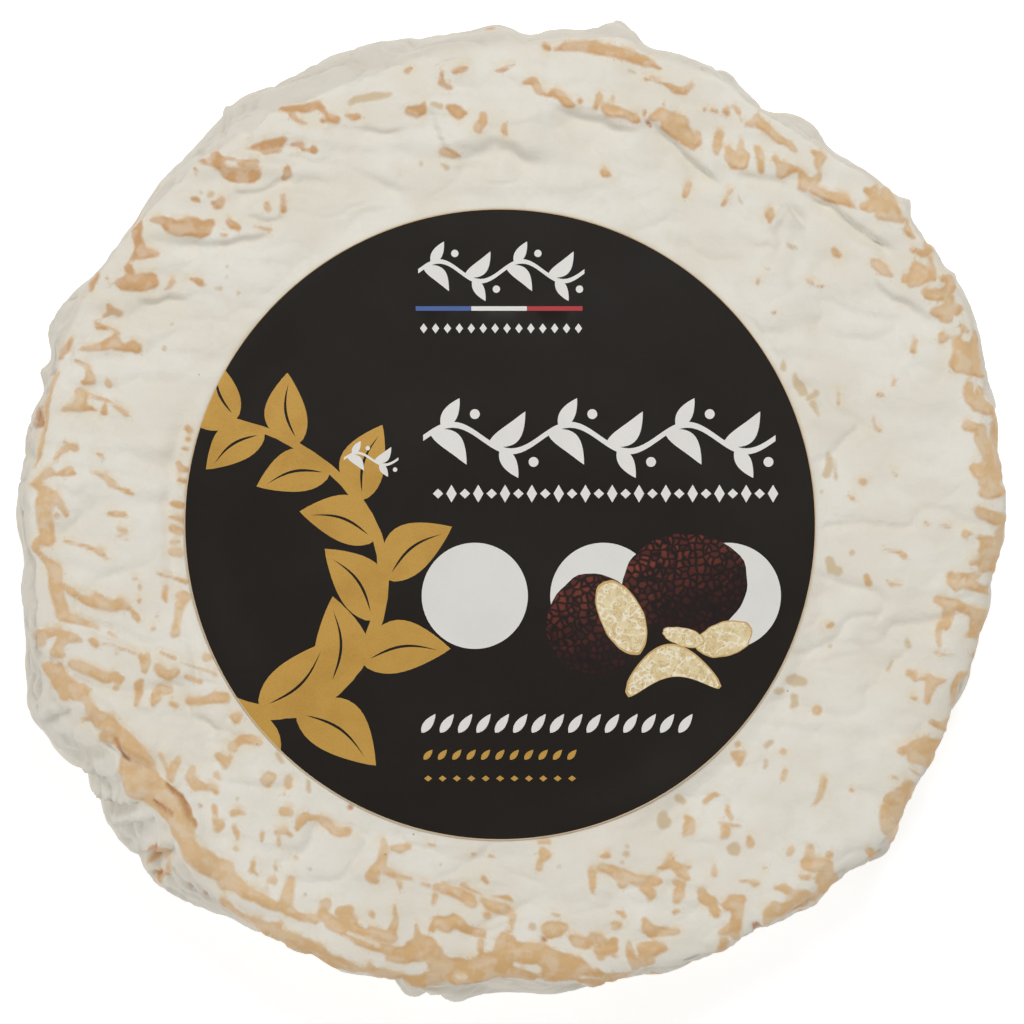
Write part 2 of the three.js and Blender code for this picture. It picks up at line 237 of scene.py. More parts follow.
WORN_RIGHT = [
    [(92.3, 25.3, .9), (92.2, 23.8, 1), (92.8, 22.5, 1.2), (94, 21.5, 1.4), (95.5, 21, 1.6),
     (96.8, 20.5, .9), (97.2, 19.6, .4)],
    [(94.7, 24, 1.3)], [(92, 17.3, 1.2), (93.5, 16.9, 1), (95, 16.5, 1.2)],
    [(94.6, 15, 1.3), (95.6, 13, 1.6), (96.5, 11, 1.6), (97.5, 14, 1.2), (97.8, 17, .8), (97.8, 19, .4)],
    [(96.5, 9.5, 1.8), (97.5, 8, 1.2)], [(93.2, 8.8, 1), (94.5, 8, 1.6), (96, 7, 1.8), (97.5, 7.5, 1.3)],
    [(95.2, 6, 1.2), (96.5, 5, 1.6), (97.8, 4, 1)], [(95.2, 3.8, 1.1), (96.5, 3.4, .9), (97.8, 3.2, .6)],
    [(93.7, .2, .7), (94.8, -.4, 1.2), (98, -1.6, 1.3), (99.2, -2.3, .8)],
    [(98.8, -4, 1), (98.6, -5.5, .9)], [(91.7, -4.5, 1), (92.8, -4.3, .5)],
    [(94.5, -5.2, .7), (96, -6.3, 1.3), (97.8, -6.2, 1.1)], [(96, -8, 1.8), (97.3, -8.5, 1.5)],
    [(94.5, -10.2, .6), (93, -10.4, .6)], [(95.5, -10.5, 1.5), (96.8, -11, 1.2), (95, -11.8, .7)],
    [(88.6, -12.7, .7), (89.3, -14, 1.4), (90, -15.3, 1)],
    [(91, -13.2, .9), (92.5, -13.7, 1.1), (94, -13, .5)],
    [(91.5, -15, .8), (93.5, -15, 1.1), (95, -15.5, .8), (96.3, -16, .8)],
    [(86, -17.8, .8), (88, -18.5, 1.3), (90, -18.9, 1), (91.5, -19.5, .9), (93, -20.3, 1), (94.5, -21, 1.5),
     (95.6, -20.5, .7)],
    [(94.2, -23, 1.5), (93.5, -24.5, 1), (94.5, -25, .8), (91.8, -25, .3)],
    [(88.3, -20.3, 1.3), (88, -22, 1), (88, -23.5, .7)],
    [(86.7, -22.8, .7), (86, -24.3, .7), (86.2, -26.3, .5), (86.6, -27.6, .25)],
    [(83.8, -2, .25), (84.1, -2.5, .3)], [(86.5, -2.8, .2), (87.6, -2.8, .4), (88.3, -3.1, .2)],
    [(73.1, 18.8, .15), (73.2, 17, .3), (74.6, 16.1, .3)], [(71, 6, .8)], [(68.2, 3, .15), (69, 2.6, .5)],
    [(77, 8, .15), (77.9, 7.4, .3)], [(75.5, -7.5, .15), (77.3, -8, .25), (78.5, -8.4, .5), (79.3, -9, .6)],
    [(71.8, -13.1, .6), (72, -14.3, .8)], [(75.8, -14.1, .2), (76.8, -14.9, .5), (78.6, -15, .2)],
]
WORN_LOWER_RIGHT = [
    [(93, -28.9, .7), (93.4, -29.8, .5)], [(85.5, -28.6, .2), (86.5, -29.1, .2), (89.5, -29, .1)],
    [(80.3, -32.5, .7), (81.3, -33, .8), (81.8, -34, .5)],
    [(82.8, -33.7, .4), (84.2, -33.7, .8), (85.5, -34.7, 1), (87, -34.2, .5), (87.7, -34.2, .3)],
    [(84.7, -35.3, 1.1), (84.3, -36.8, .8), (83.9, -38.3, .6)], [(80.8, -37.3, .3), (81.6, -37.6, .4)],
    [(92.3, -32.8, .8), (91, -34, 1.3), (90, -35.8, 1.3), (90.3, -37.3, 1), (89.3, -38.8, .7)],
    [(92, -34.5, .8), (91.3, -36, 1)],
    [(84.7, -42.4, .5), (86, -43.1, .7), (87.3, -43.3, .7), (87.2, -41.8, .3)],
    [(78.6, -48.2, .8), (79.7, -48, 1)],
    [(81.5, -47.3, 1.6), (83.5, -47, 1.9), (85.3, -46.3, 1), (86.5, -45.5, .5)],
    [(81, -49.5, 1.4), (83, -49.3, 1.8), (84.5, -49, 1.3)],
    [(84.6, -51, .6), (84.2, -53, .6), (83.5, -54.5, .5)], [(80.3, -51.8, .2), (81.8, -52.9, .3)],
    [(76.8, -53.5, .25), (78.2, -53.8, .3)],
    [(79.5, -54.8, .8), (80.5, -55.5, 1.2), (82, -55.3, .6), (82.8, -55, .4)],
    [(78.5, -56.5, 1.2), (80, -57, 1.4), (81, -56.5, 1)],
    [(76.5, -58, 1.3), (78.5, -58.5, 1.6), (79.3, -59.5, .8)],
    [(75.5, -60, 1.2), (75.3, -62, 1.3), (75.8, -63.8, 1.4), (77.8, -63, 1.3), (78, -61, 1.2)],
    [(76.8, -64, 1.6), (77, -66, 1.4), (77.3, -68, .8)],
    [(72.5, -68.5, .8), (73.5, -70, 1.2), (75.5, -69.5, .7)], [(64.7, -22.8, .6), (63.9, -23.1, .4)],
    [(63.2, -54.2, .7), (62.8, -55.5, .8), (62.6, -57, .7), (61.2, -59.2, .15)], [(68.8, -56.2, .5)],
    [(61.8, -39.9, 1)], [(55, -48.3, .7)], [(55.2, -52.6, .6), (54.8, -54, .5)],
    [(45, -48.8, .6), (46, -49.3, 1.2), (47, -49, .7), (46, -50.8, .6)], [(45.8, -47, .7)],
    [(35.5, -61.5, .5), (36.3, -62.5, 1), (36, -64, 1.2), (35.2, -65, .6)],
    [(39.3, -58.6, .5), (40.3, -57.6, .6), (41.2, -57, .5), (42, -57.3, .2)],
    [(43.9, -59.6, .4), (43.9, -61, .5), (44.5, -61.9, .5)],
    [(42, -62.5, .15), (45, -63.2, .3), (46.5, -63.5, .1)],
    [(43.3, -63.7, .9), (43.5, -64.8, .9), (42.8, -65.5, .5)], [(48.1, -65.5, .5), (48.3, -66.8, .9)],
    [(41.1, -71, .3), (41.2, -73, .55)], [(46.3, -74.6, .3), (47.5, -74.6, .35)],
    [(48.5, -74.7, .4), (49.3, -75.2, .6), (50, -74.8, .4)], [(51.1, -71.8, .3), (51.6, -71.7, .2)],
    [(55.8, -69, .5), (56.4, -68.3, .7)],
    [(60.4, -68, .9), (60.3, -69.5, .8), (60, -71, 1.5), (63.5, -71.5, 1.6)], [(64.3, -69.3, .9)],
    [(62.5, -74, 1.3), (64.3, -73.5, 1.5), (63, -75.5, .9), (62, -76.3, .5)],
    [(58.7, -73.6, .6), (59.8, -73.5, .6)], [(53.3, -76, .5), (54.8, -75.8, .8), (56.3, -76.5, .8)],
    [(57.5, -77.3, .9), (59.3, -77, .9), (60.8, -77.3, .7)],
    [(57, -78.7, 1.2), (55, -79.7, 1.2), (53, -79.8, 1.2), (51.8, -80.8, 1), (51.2, -82.3, .6)],
    [(58, -78.5, .9), (59.3, -78, .7)],
    [(38.5, -76.8, .9), (38.8, -78, 1.2), (40.5, -78.6, 1.2), (41.5, -81.3, .8)],
    [(44.5, -78.2, 1), (46.3, -78.2, 1)],
    [(43.5, -79.5, 1), (45.5, -79.5, 1.4), (45.7, -81.5, 1.2), (45.3, -83.3, 1.2), (43.8, -84, .7),
     (42.3, -84.8, .5)],
    [(45, -84.7, .9)], [(42.8, -85.8, .7), (42.2, -87.2, .7), (41.5, -88.3, .4)],
    [(32.3, -69.8, .9), (31.8, -71, .9), (29.8, -72, .5)],
    [(33.3, -71.5, 1), (35, -71.8, .8), (36.2, -71.5, .4)], [(34.3, -73, .9), (35.8, -73.8, .7)],
    [(33.5, -74.8, .8), (34.5, -75.3, .9), (34, -77, 1.2), (33.6, -78.5, .8)],
    [(33.7, -80.6, .4), (33, -81, .35)],
    [(23, -73.5, 1.2), (25.5, -74.2, 1.1), (28, -74.5, 1.2), (29.8, -74.7, .8)],
    [(27, -75.7, 1.1), (28.3, -77, 1.1), (28, -78, .5)],
    [(21.5, -80.6, .3), (22.5, -81, .5), (22.9, -81.7, .5)],
    [(20.7, -83, .5), (21.8, -83.5, .7), (20.8, -84, .4)],
    [(27, -82.2, .6), (27.5, -83.8, 1.3), (28.5, -84.8, 1.3), (30.5, -84.8, 1), (32.5, -84.7, .7),
     (33.5, -84.5, .6)],
    [(24, -87.3, .7), (24, -89.5, .9), (25, -91, 1), (25, -92.3, .7)],
    [(27, -88.3, 1.6), (29, -88, 1.5), (30.8, -88, .7)], [(26.5, -90.3, 1.3), (28, -90.3, .9)],
]
WORN_BOTTOM = [
    [(16.5, -72.7, .9), (16.5, -74.3, .7), (16.5, -75.8, .6), (16.6, -76.7, .3)],
    [(18, -71.9, .9), (20, -72.2, 1.1), (22, -73.2, 1.1), (24, -73.8, 1.2)], [(22.5, -75, 1)],
    [(18.3, -69.6, .5), (19.5, -69.2, .7)],
    [(12.3, -85.8, .7), (13.5, -86.8, 1.2), (15.5, -87, 1.2), (17, -86, 1.2), (18.3, -86.5, 1.2)],
    [(18.3, -88.5, 1.4), (20.3, -88, 1.4), (20.8, -86.5, .8)], [(18.3, -90, .7)], [(21, -89.8, .5)],
    [(6, -66.7, .5), (7.7, -66.4, .6)], [(6.5, -68.8, 1), (7.2, -69.3, .9), (6, -70.5, .7), (5.8, -72, .6)],
    [(8.3, -81, .2), (9.7, -81.5, .25)], [(8.2, -84.3, 1.9), (9.5, -84.2, 1.6), (10.8, -84, 1)],
    [(-16.5, -67, .3), (-15.5, -67.2, .25)], [(-7.7, -69, .25), (-6.8, -69.1, .2)],
    [(-4.2, -69.4, .3), (-3.6, -69.5, .3)], [(-17.8, -74.9, .3), (-16.3, -75.3, .4)],
    [(-13.8, -74.8, .2), (-12.8, -74.9, .1)],
    [(-14.8, -75.8, .8), (-12.5, -76.4, 1), (-10.5, -77, 1.2), (-8.5, -78.2, 1.4), (-7.7, -79, 1)],
    [(-15, -77.5, .6), (-15.3, -78.8, .5)], [(-9.8, -75.3, .5), (-8, -76.3, .3), (-6, -77, .2)],
    [(-5.5, -73.8, .6), (-4.8, -74.6, .4)],
    [(-5.5, -78.3, .6), (-4, -79.5, 1.2), (-2.3, -80.1, 1.2), (-.8, -80.3, 1), (.6, -81.5, .6),
     (-.3, -84.5, .6)],
    [(-4.7, -81.5, .8)], [(-3.3, -77.4, .2), (-2, -77.7, .4), (-.8, -78, .6), (.1, -78.4, .4)],
    [(-24, -89.8, 1.2), (-21.5, -89.8, 1.5), (-19, -88.5, 2.5), (-17, -88, 2.5), (-15.5, -89, 2)],
    [(-18.9, -83.3, .3), (-18.7, -85, .7), (-18.5, -86.5, 1.2)], [(-15.8, -84.5, .6), (-15.3, -83, .8)],
    [(-14.5, -82.8, 1.4), (-13, -83.3, 1.6), (-11.5, -82.5, 1.4), (-10.3, -83.2, 1.2), (-9, -84.2, 1),
     (-4.7, -85.3, .8)],
    [(-6, -86.5, .7), (-6.2, -88, .7), (-5.8, -89.3, .7)],
    [(-15, -91.5, 1.8), (-12, -92, 2.2), (-9, -91.8, 1.8), (-6, -91.8, 2.2), (0, -89, 2.6), (3, -89, 2.2),
     (6, -89, 2), (8, -90.5, 2.2), (11, -91, 2), (13.5, -91.5, 1.8), (15, -92.3, 1.3)],
    [(-2, -87, 1.2), (-1, -86, 1.2), (0, -86.5, 1.2)], [(-1, -92.5, 2), (2, -93, 1.2), (4.5, -93.5, 1)],
    [(7, -93.5, 1.2), (10, -93.3, 1.2), (13, -93.3, 1)],
    [(-24, -93.2, .6), (-22, -93.8, .6), (-19.5, -94.4, .7), (-16, -94, 1.3), (-10, -94.2, .9),
     (-4, -93.5, 1.2)],
    [(16.5, -93.2, .6), (17.5, -92.8, .8), (19, -93.6, .6), (23.2, -93.8, .5)],
    [(14, -94.3, .5), (18, -94.4, .6), (24, -93.9, .5)],
]
WORN_LOWER_LEFT = [
    [(-73, -70.4, .5), (-71.6, -69, 1.2), (-70.2, -67.8, 1.3), (-69.2, -69, .9)],
    [(-68, -70.6, .7), (-68.6, -72.2, .6), (-71, -73, .8), (-70.4, -74, .6)],
    [(-77.3, -50, 1.2), (-75.5, -51.2, 1.3), (-73, -52.6, 1.1)], [(-56.5, -47.6, .5), (-55.5, -48, .6)],
    [(-58.7, -49.4, .8), (-57.5, -50.3, 1), (-57.5, -51.3, .5), (-56.4, -49.3, .5)],
    [(-59.3, -53, .7), (-58.7, -53.7, .5)],
    [(-64, -52, .7), (-64.5, -53.8, 1), (-63.5, -55, 1.2), (-61.5, -55.5, .8), (-59.9, -55.8, .7),
     (-59.2, -56.6, .6)],
    [(-49.8, -53.8, .7), (-48.7, -53.4, 1), (-48.9, -54.7, .9), (-47.8, -53.4, .7)],
    [(-44.8, -53.8, .7), (-45, -55.3, .8)], [(-45.7, -57.1, .35)], [(-59.7, -59.7, .6), (-59.5, -60.7, .6)],
    [(-55.8, -60.9, .7), (-54.7, -60.4, .7), (-53.5, -60.7, .3)], [(-45.8, -60.6, 1), (-44.6, -60.7, 1)],
    [(-43, -63.7, .6), (-42.4, -62.5, 1), (-41.3, -61.5, 1), (-40, -61.8, .7), (-38.3, -61.8, .6),
     (-37.3, -62.7, 1.1), (-36, -64, .9), (-34.5, -64.7, .8), (-32.8, -64.6, .9)],
    [(-59.5, -62.3, .7), (-58.3, -63, .8), (-59.2, -64, .7)],
    [(-55.7, -63.5, .4), (-55, -65, .5), (-55.1, -66.2, .2)], [(-50, -65, .5), (-50.3, -66.5, .4)],
    [(-47, -64.7, .7), (-45.5, -64.4, .6), (-44.2, -65.2, .4)], [(-46.7, -66, .4), (-46.6, -67, .4)],
    [(-55.4, -68, .6)], [(-43.2, -70, .4)], [(-52, -71, .6), (-52.2, -72.3, .5), (-50.7, -73.2, .2)],
    [(-47.3, -71.5, .4), (-47.1, -72.4, .3)], [(-48.8, -74.5, .6), (-47.8, -74.5, .8)], [(-49.3, -76, .4)],
    [(-64.5, -66, 1.5), (-63.5, -68.5, 1.8), (-61.5, -70, 2), (-59.5, -71.5, 2.2), (-57.5, -72.5, 2.2),
     (-57, -74.5, 1.8), (-55, -75, 1.4), (-53, -76.5, 1.2), (-51, -77.5, 1.2), (-47, -79.8, 1),
     (-45.2, -79, 1.5), (-44.4, -75, .9), (-44.1, -73.8, .6)],
    [(-45, -80.5, 1), (-43, -81.3, .8), (-41, -82, .9), (-39.5, -82.3, 1)],
    [(-38, -79, .7), (-37, -78.7, .8), (-37.7, -80.3, .9), (-38.3, -81.5, .9), (-37, -82, 1.2)],
    [(-34.5, -80.5, 1), (-32.5, -80.3, 1), (-33.5, -82.5, 1.5), (-32, -83, 1.5)],
    [(-36, -83, 1.5), (-34, -84, 1.3), (-31, -84.3, 1.3), (-28.5, -84.8, 1.2), (-26, -85.5, 1.3),
     (-24, -86, 1.2)],
    [(-27.8, -81.2, .7)], [(-23.3, -79.5, .3), (-23.3, -81.5, .5), (-23.5, -83.5, .8), (-24, -85, 1)],
    [(-33, -85.5, .7), (-31, -86.3, .8), (-28.5, -87.2, 1), (-25.5, -88, 1), (-23.5, -89, 1.2),
     (-21, -89.3, 1.3)],
    [(-57.5, -78, .9), (-55.5, -80, 1.1), (-53.5, -81.8, 1.2), (-51, -83, 1.3), (-48.5, -83.5, 1.2),
     (-46.3, -83, .9)],
    [(-46.5, -85, 1.3), (-44, -86.3, 1.5), (-41, -87.8, 1.6), (-38.5, -88.5, 1.6), (-36.5, -90, 1.4),
     (-34, -91, 1.5), (-31.5, -92, 1.3), (-28, -92, 1.2), (-25.5, -92.8, 1), (-24, -93.3, .8),
     (-21, -94, .6)],
    [(-25.5, -66.5, .6), (-25.5, -68.5, 1), (-25.8, -70.5, 1), (-27, -72.5, 1.2), (-28.3, -73.5, 1),
     (-27, -74.3, .7)],
    [(-24, -67.7, .6), (-22, -68.2, .8), (-20.7, -67.5, .7)],
    [(-25, -72.5, .8), (-23, -73.5, .6), (-21.5, -73.8, .5), (-20, -74, .3)],
    [(-22.3, -75, .6), (-22.1, -76.2, .3)],
    [(-94.8, -25, 1.2), (-93, -24.5, 1), (-91.3, -24.2, .8), (-89.5, -25.3, 1.1), (-87.7, -25.7, .9),
     (-86.8, -26, .5)],
    [(-94.5, -26.5, .8)], [(-90.5, -26, 1.2), (-91.3, -27.5, .9), (-92.5, -29, .7), (-90.5, -29, .9)],
    [(-84.4, -26.2, .7), (-83.6, -26.8, .8)],
    [(-82.5, -26.5, .2), (-80, -26.6, .25), (-78.5, -27.5, .3), (-77, -28, .3), (-75.5, -28.7, .3)],
    [(-79.4, -28.4, .35)],
    [(-88.5, -31, .9), (-87, -31.3, 1.2), (-85, -32.2, 1.2), (-83, -33, 1.2), (-81.5, -33.5, 1.1),
     (-79.8, -33.2, 1), (-79, -34, .9), (-78.3, -33.8, .5)],
    [(-79.6, -35.5, .6)],
    [(-91.5, -32.3, 1.5), (-91, -34.5, 2), (-89.5, -35.5, 1.8), (-88, -36.5, 1.8), (-86.3, -37.2, 1.2),
     (-85.3, -37.7, .6)],
    [(-93.5, -31.5, 1), (-92.5, -33, 1)], [(-86.5, -35.5, .7), (-84.8, -36.2, .4)], [(-90, -37, 1.3)],
    [(-85, -38.8, .8), (-84.3, -40.5, 1.6), (-83, -42, 2), (-81, -42.5, 1.8), (-80, -44, 1.8),
     (-78, -46, 1.8), (-76, -47.5, 1.6), (-74.5, -48.8, 1.4), (-73, -50, 1), (-72.3, -51, .8)],
    [(-86.5, -42.3, .5), (-85, -42.3, .8)], [(-82, -45.3, 1), (-80.3, -46, .9)],
    [(-78, -50.3, .9), (-77.5, -52, 1.4), (-76, -53.5, 1.7), (-74.5, -55, 1.9), (-73, -56.3, 2),
     (-71, -57.5, 1.9), (-69.5, -58.8, 1.5), (-68, -60.3, 1.6), (-66.5, -62.5, 1.7), (-65, -64.8, 1.8)],
    [(-72, -53.5, 1.2), (-70.5, -55, 1.3), (-68.5, -56.5, 1.2), (-67, -58, 1), (-65.5, -60, .9),
     (-63.5, -63, .6)],
    [(-70.6, -49, .5), (-69.8, -50.5, .4), (-69, -52.5, .4)],
    [(-67, -50.3, .8), (-68, -51.5, .9), (-68.5, -53, .8), (-68.3, -54, .6)],
    [(-75.5, -38.7, .4), (-75, -36.5, .8), (-75, -35, .9), (-74.4, -34.3, .6)],
    [(-74.5, -29.3, .6), (-73.5, -30.5, 1.1), (-73.8, -31.8, .8)], [(-73.3, -29.3, .7)],
    [(-71, -31.3, .8), (-70, -32.5, 1.2), (-69, -33, 1.2), (-67.5, -32.3, .8), (-67, -32, .5)],
    [(-70.5, -36, 1.2), (-69, -36, 1)], [(-71.5, -37.5, 1.2), (-72, -38.7, .6)],
    [(-68.2, -38.8, .6), (-67.3, -39.2, .5)], [(-70.5, -28.2, .25), (-69, -28.9, .35), (-67.5, -29.5, .35)],
    [(-66, -30.5, .15), (-61.5, -32, .2), (-59.5, -32.7, .35)], [(-65.5, -33.2, .5), (-62.5, -34.3, .5)],
    [(-64.8, -38.3, .9), (-63, -38.4, .8), (-61, -37.9, .9), (-59, -37.5, 1.2), (-57.5, -37.6, 1.1)],
    [(-56.3, -41.3, .5), (-55.3, -41.7, 1), (-54.3, -41, .6)],
    [(-56.3, -47, .6), (-55.3, -46.8, .9), (-54.3, -45.8, .9), (-52.5, -46, 1), (-50.8, -46.3, .8)],
    [(-61.5, -29.5, .7), (-60.5, -29.3, .6)],
]
WORN = [*WORN_LEFT, *WORN_UPPER_LEFT, *WORN_TOP, *WORN_UPPER_RIGHT, *WORN_RIGHT, *WORN_LOWER_RIGHT,
        *WORN_BOTTOM, *WORN_LOWER_LEFT]

# Places where the bloom is only thin, so that the rind shows through it faintly.
THIN = [
    [(-91.2, -.8, .9)], [(-62.2, 64.3, .4)], [(-60.3, 64, .8)], [(-59.2, 45.2, .35), (-58.5, 44.8, .4)],
    [(-54.8, 43.8, .4)], [(-57, 49.5, .4)], [(-57.2, 47.2, .3)], [(-69.8, 33.1, .6)], [(-68.3, 37.7, .3)],
    [(-32.2, 82.3, .7), (-31, 83, .9), (-29, 83.6, .9), (-27, 83.9, .9), (-25.5, 84, .7), (-24, 84.1, .4)],
    [(-15.5, 82, .5), (-14.3, 81.6, .7)], [(-13.8, 69.8, .4), (-13, 69.3, .7)], [(-18, 70, .5)],
    [(23.8, 88.6, .5), (25, 88.3, .3)], [(45.8, 63.6, .2), (46.6, 62.2, .35)],
    [(55.8, 53.7, .4), (56.7, 53.2, .6), (57.4, 53.1, .5)], [(51.3, 48.9, .3), (52.1, 48.8, .3)],
    [(55.1, 30.3, .3), (55, 28.9, .7)], [(57.3, 27.5, .5), (58.2, 25.5, 1.1), (58.8, 24.2, 1)],
    [(60, 22.9, .8), (61.5, 23.8, .8)], [(60.8, 21.8, .7), (61.8, 20.5, .5), (62.2, 19.3, .2)],
    [(64, 12, .3), (64.2, 10.5, .7), (64, 9, .9), (63.8, 7.6, .9)], [(65.2, 10, .3), (65.7, 6.5, .4)],
    [(62.8, 3.8, .4)], [(68.7, -8.3, .7)], [(64.3, -9.8, .8), (64.8, -11.5, 1), (66, -12, 1)],
    [(79.9, -25.5, .3), (80, -26.5, .7), (80.4, -27.3, .5)], [(76.8, -30.5, .4), (76.2, -31.8, .5)],
    [(64.3, -27.1, .5)], [(56, -34, .8), (57.5, -34, 1.3), (59, -34.2, 1)],
    [(53.8, -36.2, .8), (54.8, -36, .5)], [(57.2, -37.3, .8), (57.3, -38.8, .7), (56.8, -39.5, .5)],
    [(51.6, -47.4, .7), (52.4, -46.5, .6)], [(51.4, -50.3, .5), (51.3, -51.5, .5)],
    [(31, -62.5, 1.6), (30.8, -61.5, 1.2)], [(34, -57.8, 1), (35, -58.5, .7)], [(45, -68, 1.5)],
    [(23.5, -67.4, .5)], [(23.3, -69, .8)], [(22.5, -70.8, .5)], [(9.8, -71.3, .5)], [(4.4, -83.6, .9)],
    [(-14.2, -71.2, .4)], [(-40.7, -54.5, .5), (-40.7, -56.2, .7)], [(-47, -48.8, .6), (-46, -50.5, .5)],
    [(-55, -57.6, .4)], [(-40.4, -72, .4)], [(-41.3, -77, .5)], [(76.8, -60.5, .8)],
]

# Cracks and pinched folds where the rind is a deeper orange-brown.
BROWNED = [
    [(-96, 21, .8), (-96.3, 18, 1), (-97.3, 17, .6)], [(-93.4, 28.6, .7)],
    [(27.5, 78.5, .4), (28.1, 77.8, .3)], [(49.3, -83.2, .8), (50.3, -83.3, .5)], [(6.6, -86.2, .55)],
    [(-62.5, -59.3, .25)], [(-32.3, -59.5, .5)], [(-61.3, -76.8, .4)], [(-64, -75, .4)],
    [(-72.4, -69.4, .5), (-71.4, -67.9, .8), (-70.2, -67, .6)], [(-71.8, -72.9, .35), (-70, -72.8, .4)],
    [(-79.5, -45.8, .35), (-78.7, -47.3, .4), (-77.8, -49, .4), (-76.8, -49.8, .3)],
    [(-69, -55, .3), (-67.8, -56.5, .3), (-66.5, -57.3, .35), (-65.5, -58.8, .4), (-64.5, -61, .4),
     (-63.3, -63.3, .3)],
    [(-71.5, -58, .3), (-69.5, -59.2, .35), (-67.6, -60.7, .3)],
]

# Islands and slits of bloom left inside the worn places.
BLOOM_LEFT = [
    [(-42.9, 80, .4)], [(91.7, 35, .9)], [(91.3, -14, .4)],
    [(-13.2, -86.5, .9), (-11, -87, 2.2), (-9, -87.5, 2.2), (-8.3, -89.5, .9)],
    [(-4, -84.2, .8), (-3.9, -86, 1.1), (-3.9, -88, .8)], [(-3.5, -83, .6), (-1, -83.6, .8)],
    [(-11, -93.5, .4), (-9, -93.6, .4)], [(-23.5, -91.7, .8), (-21, -92.5, .8), (-19.3, -92.5, .8)],
    [(1, -91.3, .5), (3.5, -92, .5), (5.5, -92.6, .5)],
    [(-33, -85, .3), (-28, -86.8, .3), (-26.3, -87.5, .3)],
    [(-56.8, -76.8, .8), (-54, -78.5, .8), (-49, -81.5, .8), (-47, -81.8, .8)],
    [(-45, -82.5, 1), (-43, -83.5, 1.2), (-41, -84, 1.2), (-37, -86.3, 1.2), (-33, -88.5, 1.2),
     (-29.5, -90.5, 1)],
    [(-27, -90.8, .8), (-23, -91.8, .8)], [(-30.7, -80.5, .9), (-30, -82.5, .9), (-29.3, -83.5, .7)],
]

# ---------------------------------------------------------------- the lie of the surface

# Folds: the surface steps down across the line, from the side on its left to the side on its right
# as the points run. (points, height of the step, how far it reaches to each side).
FOLDS = [
    ([(-70, 55.5), (-66, 54.6), (-62, 53.6), (-57, 53.8), (-52, 55), (-47, 57)], 0.9, 2.6),
    ([(-77, 43.8), (-74, 42.5), (-71, 42.2), (-68, 43), (-62, 43.8)], 0.9, 2.4),
    ([(-57, 65.3), (-54, 64.6), (-51, 65), (-47, 66.3), (-43, 66.8)], 0.9, 2.4),
    ([(-50, 71.6), (-42, 71.6), (-35, 70.5), (-30, 68.5), (-25, 66), (-20, 64)], 0.8, 3.4),
    ([(-40, 77.2), (-36, 77.4), (-30, 77.3), (-26, 76.6), (-20, 78)], 0.8, 2.6),
    ([(-54, 59.9), (-49, 59.4), (-44, 59.2)], 0.7, 2.0),
    ([(-84, 39.6), (-79, 38.9), (-75, 38.6)], 0.5, 2.0),
    ([(-88, 31.5), (-82, 31.2), (-76, 30.9)], 0.5, 2.0),
    ([(-34, 88.5), (-28, 90.5), (-24, 92.5)], 0.5, 1.6),
    ([(-16, 68.5), (-11, 68.8), (-7, 72.8), (-3, 73.8), (1, 72.8), (5, 71), (10, 70.3)], 2.4, 5.0),
    ([(6, 82.6), (10, 80.8), (14, 79.4), (19, 78.8), (25, 76.5)], 1.4, 3.5),
    ([(20, 78.5), (26, 77.5)], 0.5, 2.0),
    ([(27.2, 80), (30, 76.8), (32.5, 74.6), (35.5, 71.9), (39, 68.5), (43, 65.6)], 2.8, 2.2),
    ([(44, 67.6), (48, 68.4), (53, 67.4), (57, 65.6)], 0.9, 2.0),
    ([(57.5, 65.3), (60, 64), (63, 62.3), (66, 60.8), (69, 58.9), (72, 56.5), (75, 54.3), (79, 51.8)],
     1.5, 1.6),
    ([(71, 49), (76, 44), (80, 41.5), (83.5, 39.5), (86.5, 38), (88.5, 36.5)], 0.9, 2.6),
    ([(51.6, 55), (52.8, 58.8), (55.3, 61.4), (57.4, 59), (60.2, 57.2)], -1.2, 1.1),
    ([(-46.8, 81.3), (-50, 77.5), (-53.6, 73.6)], 1.2, 1.6),
    ([(48, 53.5), (51, 54.3), (54, 53.8)], 0.3, 1.2),
    ([(47, 40), (50, 37), (53, 33.5), (55, 30.5)], 0.5, 1.6),
    ([(40, 90), (45, 87), (50, 82)], 0.5, 1.6),
    ([(56, 76.5), (63, 73.5)], 0.4, 1.4),
    ([(-95.5, -42.3), (-91.5, -41), (-88, -40)], 1.5, 1.8),
    ([(-93.5, -45.5), (-89, -46), (-85, -48.2), (-80, -49)], 1.6, 1.8),
    ([(-88.5, -51), (-85.5, -53), (-82, -54), (-78, -53.8)], 1.8, 1.8),
    ([(-85, -56.5), (-81, -58), (-77, -58.3), (-74, -57.5)], 1.5, 1.6),
    ([(-81, -62.5), (-77, -63.5), (-73, -62.5), (-70.5, -61.3)], 1.5, 1.6),
    ([(-77, -69), (-73, -69), (-69, -67.5), (-67, -66)], 1.4, 1.6),
    ([(-76, -39.5), (-72, -41)], 0.5, 1.4),
    ([(-66, -41), (-62, -42), (-58, -44)], 0.5, 2.4),
    ([(-88, -37.8), (-84, -36.6), (-80, -39.5), (-76, -44.2), (-72, -48.2)], -0.6, 2.2),
    ([(-52, -67.6), (-46, -67.4), (-40, -67.8)], 0.5, 3.0),
    ([(-19.5, -96), (-16, -97.3), (-12.5, -97.6)], 1.3, 1.2),
    ([(-12, -97.4), (-10.3, -95.6), (-6, -95.2), (-2, -93.8)], 1.2, 1.2),
]

